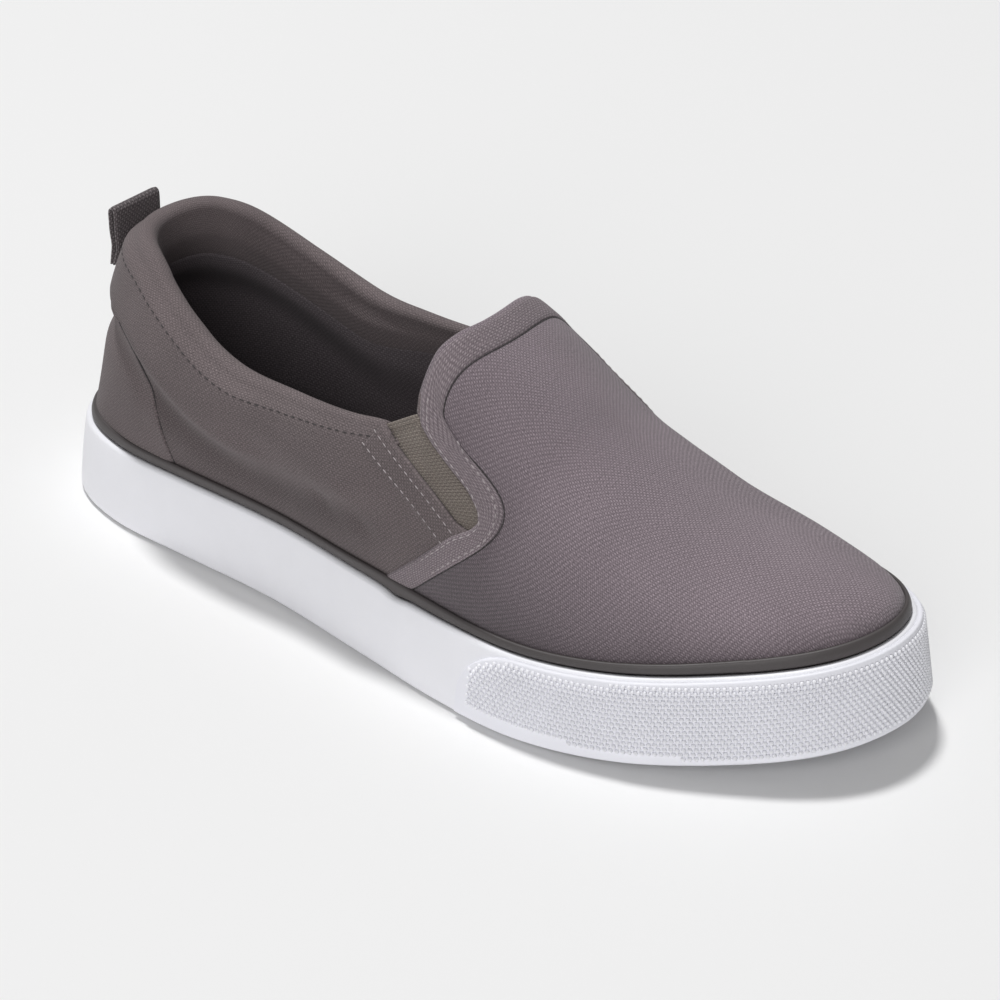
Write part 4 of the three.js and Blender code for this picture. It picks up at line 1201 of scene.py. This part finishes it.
# Section of a sewn band: how far across it, and how high over the skin as a share of its height.
# Its folded edge turns down past the canvas, and it is flat again at the seam.
bandSection = [
    (0.0, -2.4), (0.005, -1.2), (0.02, -0.1), (0.05, 0.5), (0.09, 0.8), (0.15, 0.95),
    (0.24, 1.0), (0.34, 1.0), (0.44, 0.95), (0.54, 0.9), (0.64, 0.88), (0.74, 0.86),
    (0.82, 0.8), (0.88, 0.7), (0.93, 0.56), (0.965, 0.38), (0.99, 0.18), (1.0, 0.0),
]
bandUnder = [(1.0, -0.3), (0.7, -0.3), (0.3, -0.3), (0.03, -2.6)]


def surfaceLine(first, second, share, height):
    # a line on the skin between two others, raised by a height
    spots, ups = onSkin(first * (1 - share) + second * share)
    return spots + ups * height


def layBand(name, edge, seam, sizes, material):
    section = bandSection + bandUnder
    lines = [surfaceLine(edge, seam, share, rise * sizes["height"]) for share, rise in section]
    bandLoops = np.stack(lines, axis=1)
    across = np.array([share for share, _ in section]) * sizes["width"]
    uv = np.stack(np.broadcast_arrays(runLengths(edge)[:, None], across[None]), axis=-1)
    return makePiece(name, bandLoops.reshape(-1, 3), tubeFaces(*bandLoops.shape[:2]), material,
                     uv=uv.reshape(-1, 2))


settle(layBand("throatFacing", edgeLine, seamLine, facing, facingCanvas), "canvas", "throat_facing")

# Hems: the quarter's front edge folded over the elastic and sewn twice
hem = {
    "width": 8.6,
    "height": 0.32,
    "samples": 90,
    "back": (-0.573, -0.819),                # from its edge to its outer seam, as seen from the side
    "foot": [(160.7, 48.2), (163.2, 46.1)],
}
hemLines = {}
for side, name in ((-1, "hemOuter"), (1, "hemInner")):
    hemEdge = relaxed(resample(fromSide(slotRear + hem["foot"], side), hem["samples"]), 3)
    behind = hemEdge[:, [0, 2]] + np.array(hem["back"]) * hem["width"]
    hemLines[side] = hemEdge, relaxed(fromSide(behind, side), 4)
    settle(layBand(name, *hemLines[side], hem, quarterCanvas), "canvas")
print("stage: facing and hems made")

# Elastic gores: ribbed webbing stretched flat between the slot's edges, a little below the canvas
gore = {
    "rows": 220,
    "columns": 26,
    "thickness": 1.1,
    "recess": 1.1,           # below the canvas
    "tuck": 1.6,             # under the canvas at either side
    "ribPitch": 0.95,
    "ribHeight": 0.3,
    "fold": 1.8,             # the folded top edge
    "foldHeight": 0.35,
    "groove": 1.3,           # it dips beside the facing
    "grooveAt": (0.78, 0.92),
    "rearFoot": [(160.5, 47.4)],
    "frontFoot": [(166.0, 47.1)],
}


def makeGore(side, name, node):
    rear, front = [resample(fromSide(seen, side), gore["rows"])
                   for seen in (slotRear + gore["rearFoot"], slotFront[:-1] + gore["frontFoot"])]
    rearUps, frontUps = onSkin(rear)[1], onSkin(front)[1]
    width = np.linalg.norm(front - rear, axis=1, keepdims=True)
    across = (front - rear) / width
    rear = rear - across * gore["tuck"] - rearUps * gore["recess"]
    front = front + across * gore["tuck"] - frontUps * gore["recess"]
    shares = np.linspace(0, 1, gore["columns"])[None, :, None]
    grid = rear[:, None] * (1 - shares) + front[:, None] * shares
    ups = rearUps[:, None] * (1 - shares) + frontUps[:, None] * shares
    ups /= np.linalg.norm(ups, axis=-1, keepdims=True)
    lengths = runLengths(grid[:, gore["columns"] // 2 - 1])
    rib = gore["ribHeight"] * np.abs(np.sin(math.pi * lengths / gore["ribPitch"]))
    fold = np.clip(lengths / gore["fold"], 0, 1)
    fold = gore["foldHeight"] * np.sqrt(np.clip(4 * fold * (1 - fold), 0, 1))
    groove = gore["groove"] * smooth(*gore["grooveAt"], shares)
    points, faces = slab(grid + ups * ((rib + fold)[:, None, None] - groove),
                         grid - ups * (gore["thickness"] + groove))
    uv = np.stack(np.broadcast_arrays(lengths[:, None], shares[..., 0] * float(width.mean())), axis=-1)
    settle(makePiece(name, points, faces, elastic, uv=np.tile(uv.reshape(-1, 2), (2, 1))), "elastic", node)


makeGore(-1, "goreOuter", "gore_outer")
makeGore(1, "goreInner", "gore_inner")
print("stage: gores made")

# Heel counter: an overlay whose front edge is a straight dark seam
counterSeam = [(26.2, 61.2), (34.1, 59.4), (39.3, 54.9), (46.9, 45.3), (50.8, 36.0), (54.2, 24.4),
               (55.5, 14.4)]
counter = {"rows": 40, "height": 0.55, "reach": 70}     # reach: meridians looked at on either side


def counterTop(line):
    # how far up a meridian the counter reaches, as a fractional row
    seam = np.array(counterSeam)
    allowed = np.interp(line[:, 2], seam[::-1, 1], seam[::-1, 0])
    behind = (line[:, 0] < allowed) & (line[:, 2] < seam[0, 1])
    if not behind[1]:
        return 0
    k = np.where(~behind[1:])[0][0] + 1
    over = allowed - line[:, 0] if line[k, 2] < seam[0, 1] else seam[0, 1] - line[:, 2]
    return k - 1 + np.clip(over[k - 1] / (over[k - 1] - over[k] + 1e-9), 0, 1)


def makeCounter():
    order = np.arange(-counter["reach"], counter["reach"] + 1)
    tops = np.array([counterTop(skin[i]) for i in order])
    order, tops = order[tops > 2], tops[tops > 2]
    shares = np.linspace(0, 1, counter["rows"])
    at = 1 + (tops[:, None] - 1) * shares
    grid, ups = [atRows(table, order[:, None], at) for table in (skin, normals)]
    # it thins towards its upper edge and its two ends
    rounding = np.minimum(1, (1 - shares) * counter["rows"] / 2)
    ends = np.minimum(np.arange(len(order)), np.arange(len(order))[::-1])
    thinning = [0.15 + 0.85 * np.sqrt(part) for part in (rounding * (2 - rounding), np.clip(ends / 2, 0, 1))]
    heights = counter["height"] * thinning[0][None, :, None] * thinning[1][:, None, None]
    points, faces = slab(grid + ups * heights, grid - ups * 0.1)
    uv = np.stack(np.broadcast_arrays(runLengths(grid[:, 5])[:, None], runLengths(grid)), axis=-1)
    settle(makePiece("heelCounter", points, faces, quarterCanvas, uv=np.tile(uv.reshape(-1, 2), (2, 1))),
           "canvas", "heel_counter")


makeCounter()
print("stage: counter made")

# Heel loop: folded tape, sewn flat on the back seam and standing up behind the collar
loop = {
    "width": 17.5,
    "ply": 0.8,
    "gap": 1.3,              # between its two plies
    "foot": 64,
    "sewn": 5,               # length that lies on the counter
    "top": 81.5,
    "back": -0.9,
    "columns": 15,
    "samples": 90,
}


def makeLoop():
    def backAt(z):
        return float(np.interp(z, skin[0][:, 2], skin[0][:, 0])) - 0.1

    ply, foot = loop["ply"], loop["foot"]
    half, sewnTop, depth = ply / 2, foot + loop["sewn"], 2 * ply + loop["gap"]
    front, bend = backAt(sewnTop), (depth - ply) / 2
    rear = front - depth + half
    path = [(backAt(foot) - half, foot), (front - half, sewnTop), (front - half - 0.15, sewnTop + 4)]
    path += [(front - depth / 2 + bend * math.cos(a), loop["top"] - depth / 2 + bend * math.sin(a))
             for a in np.linspace(0, math.pi, 14)]
    path += [(rear, sewnTop + 5), (rear + 0.5, sewnTop + 1), (backAt(foot) - half - ply - 0.15, foot)]
    path = relaxed(resample(path, loop["samples"]), 6) + np.array([loop["back"], 0])
    tangents = np.gradient(path, axis=0)
    tangents /= np.linalg.norm(tangents, axis=1, keepdims=True)
    out = np.stack([tangents[:, 1], -tangents[:, 0]], axis=1)
    shares = np.linspace(-0.5, 0.5, loop["columns"])
    # the woven edges are thinner
    thick = half * (0.45 + 0.55 * np.sqrt(np.clip((0.5 - np.abs(shares)) * loop["width"] / 0.5, 0, 1)))
    shares, thick = np.concatenate([shares, shares[::-1]]), np.concatenate([thick, -thick[::-1]])
    spots = path[:, None] + out[:, None] * thick[None, :, None]
    run, across = np.broadcast_arrays(runLengths(path)[:, None], shares[None] * loop["width"])
    loops = np.stack([spots[..., 0], across, spots[..., 1]], axis=-1)
    uv = np.stack([run, across], axis=-1).reshape(-1, 2)
    settle(makePiece("heelLoop", loops.reshape(-1, 3), tubeFaces(*loops.shape[:2]), webbing, uv=uv),
           "webbing", "heel_loop")


makeLoop()
print("stage: loop made")

# Sewing: each seam's stitch spacing, stitch length and thread thickness in millimetres
collarSeam = {"fromEdge": [5.6, 4.4, 3.4], "at": [0.0, 0.3, 0.5]}
seams = {
    "collarStitches": (2.6, 1.7, 0.34),
    "facingSeamShadow": (1.5, 2.0, 0.36),
    "facingStitches": (2.2, 1.4, 0.34),
    "hemStitches": (2.2, 1.4, 0.34),
    "counterSeam": (1.4, 1.9, 0.6),
}


def sewRows(name, rows, material):
    starts = np.cumsum([0] + [len(row) for row in rows])
    edges = [(start + i, start + i + 1) for start, row in zip(starts, rows) for i in range(len(row) - 1)]
    values = {key: size / 1000 for key, size in zip(("Spacing", "Length", "Thickness"), seams[name])}
    values["Material"] = material
    settle(runNodes(name, stitchRun, np.concatenate(rows), edges, {}, values), "canvas")


def collarRow(side):
    share = shareOf(stationAt(turns))
    choice = np.where((sideAt(turns) == side) & (share < collarSeam["at"][-1]))[0]
    at = rowsBelow(choice, np.interp(share[choice], collarSeam["at"], collarSeam["fromEdge"]))
    return (atRows(skin, choice, at) + normals[choice, at.astype(int)] * 0.02)[::-side]


sewRows("collarStitches", [collarRow(side) for side in (-1, 1)], darkThread)
# a dark thread just past the facing's outer seam: a seam thread, and also painted shadow under the band's
# edge
sewRows("facingSeamShadow", [surfaceLine(edgeLine, seamLine, 1.03, 0.02)], darkThread)
sewRows("facingStitches",
        [surfaceLine(edgeLine[start:end], seamLine[start:end], share, facing["height"] * rise)
         for start, end in facing["sewn"] for share, rise in ((0.2, 1.0), (0.84, 0.74))], paleThread)
sewRows("hemStitches", [surfaceLine(*hemLines[side], share, hem["height"] * 0.95)
                        for side in (-1, 1) for share in (0.3, 0.86)], paleThread)
sewRows("counterSeam", [relaxed(resample(fromSide(counterSeam[1:-1], side), 70), 2) for side in (-1, 1)],
        darkThread)
print("stage: sewing made")

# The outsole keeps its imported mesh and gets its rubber
frame["nodes"]["outsole"].data.materials.clear()
frame["nodes"]["outsole"].data.materials.append(soleRubber)

# Studio: pale floor, soft key from above and behind the heel, fill from the camera's side
studio = {
    "world": 0.2, "floor": "eeeeee",
    "key": {"place": (-0.8, 0.42, 3.0), "size": 0.4, "power": 65},
    "fill": {"place": (1.0, -2.2, 1.3), "size": 2.0, "power": 31},
}
bpy.ops.mesh.primitive_plane_add(size=12, location=(0, 0, 0))
floor = bpy.context.object
floor.name = "studioFloor"
floorMaterial, _, floorShader = startMaterial("palePaper")
floorShader.inputs["Base Color"].default_value = linear(studio["floor"])
floorShader.inputs["Roughness"].default_value = 0.9
floorShader.inputs["Specular IOR Level"].default_value = 0.1
floor.data.materials.append(floorMaterial)


def addLight(name, spec):
    data = bpy.data.lights.new(name, "AREA")
    data.shape = "DISK"
    data.size = spec["size"]
    data.energy = spec["power"]
    light = bpy.data.objects.new(name, data)
    light.location = spec["place"]
    light.rotation_euler = (-Vector(spec["place"])).to_track_quat("-Z", "Y").to_euler()
    bpy.context.collection.objects.link(light)


addLight("keyLight", studio["key"])
addLight("fillLight", studio["fill"])
world = bpy.data.worlds.new("studioWorld")
world.use_nodes = True
world.node_tree.nodes["Background"].inputs["Color"].default_value = (1, 1, 1, 1)
world.node_tree.nodes["Background"].inputs["Strength"].default_value = studio["world"]
bpy.context.scene.world = world
bpy.context.scene.view_settings.view_transform = "Standard"

# Camera at the photograph's angle to the shoe: azimuth and elevation in degrees, distances in metres
view = {"azimuth": 39.7, "elevation": 29.9, "roll": -1.0, "distance": 0.8685, "lens": 120.74,
        "target": (131.0, 0.0, 33.96), "shiftX": 0.0319, "shiftY": -0.0211}
azimuth, elevation, roll = (math.radians(view[key]) for key in ("azimuth", "elevation", "roll"))
right = Vector((math.cos(azimuth), math.sin(azimuth), 0))
away = Vector((math.sin(azimuth) * math.cos(elevation), -math.cos(azimuth) * math.cos(elevation),
               math.sin(elevation)))
up = away.cross(right)
tiltedRight = right * math.cos(roll) + up * math.sin(roll)
tiltedUp = up * math.cos(roll) - right * math.sin(roll)
cameraData = bpy.data.cameras.new("camera")
cameraData.sensor_width = 36
cameraData.lens = view["lens"]
cameraData.shift_x, cameraData.shift_y = view["shiftX"], view["shiftY"]
camera = bpy.data.objects.new("camera", cameraData)
bpy.context.collection.objects.link(camera)
spot = Vector(place(np.array(view["target"]))) + away * view["distance"]
rows = [[tiltedRight[k], tiltedUp[k], away[k], spot[k]] for k in range(3)]
camera.matrix_world = Matrix(rows + [[0, 0, 0, 1]])
bpy.context.scene.camera = camera

print("stage: done")
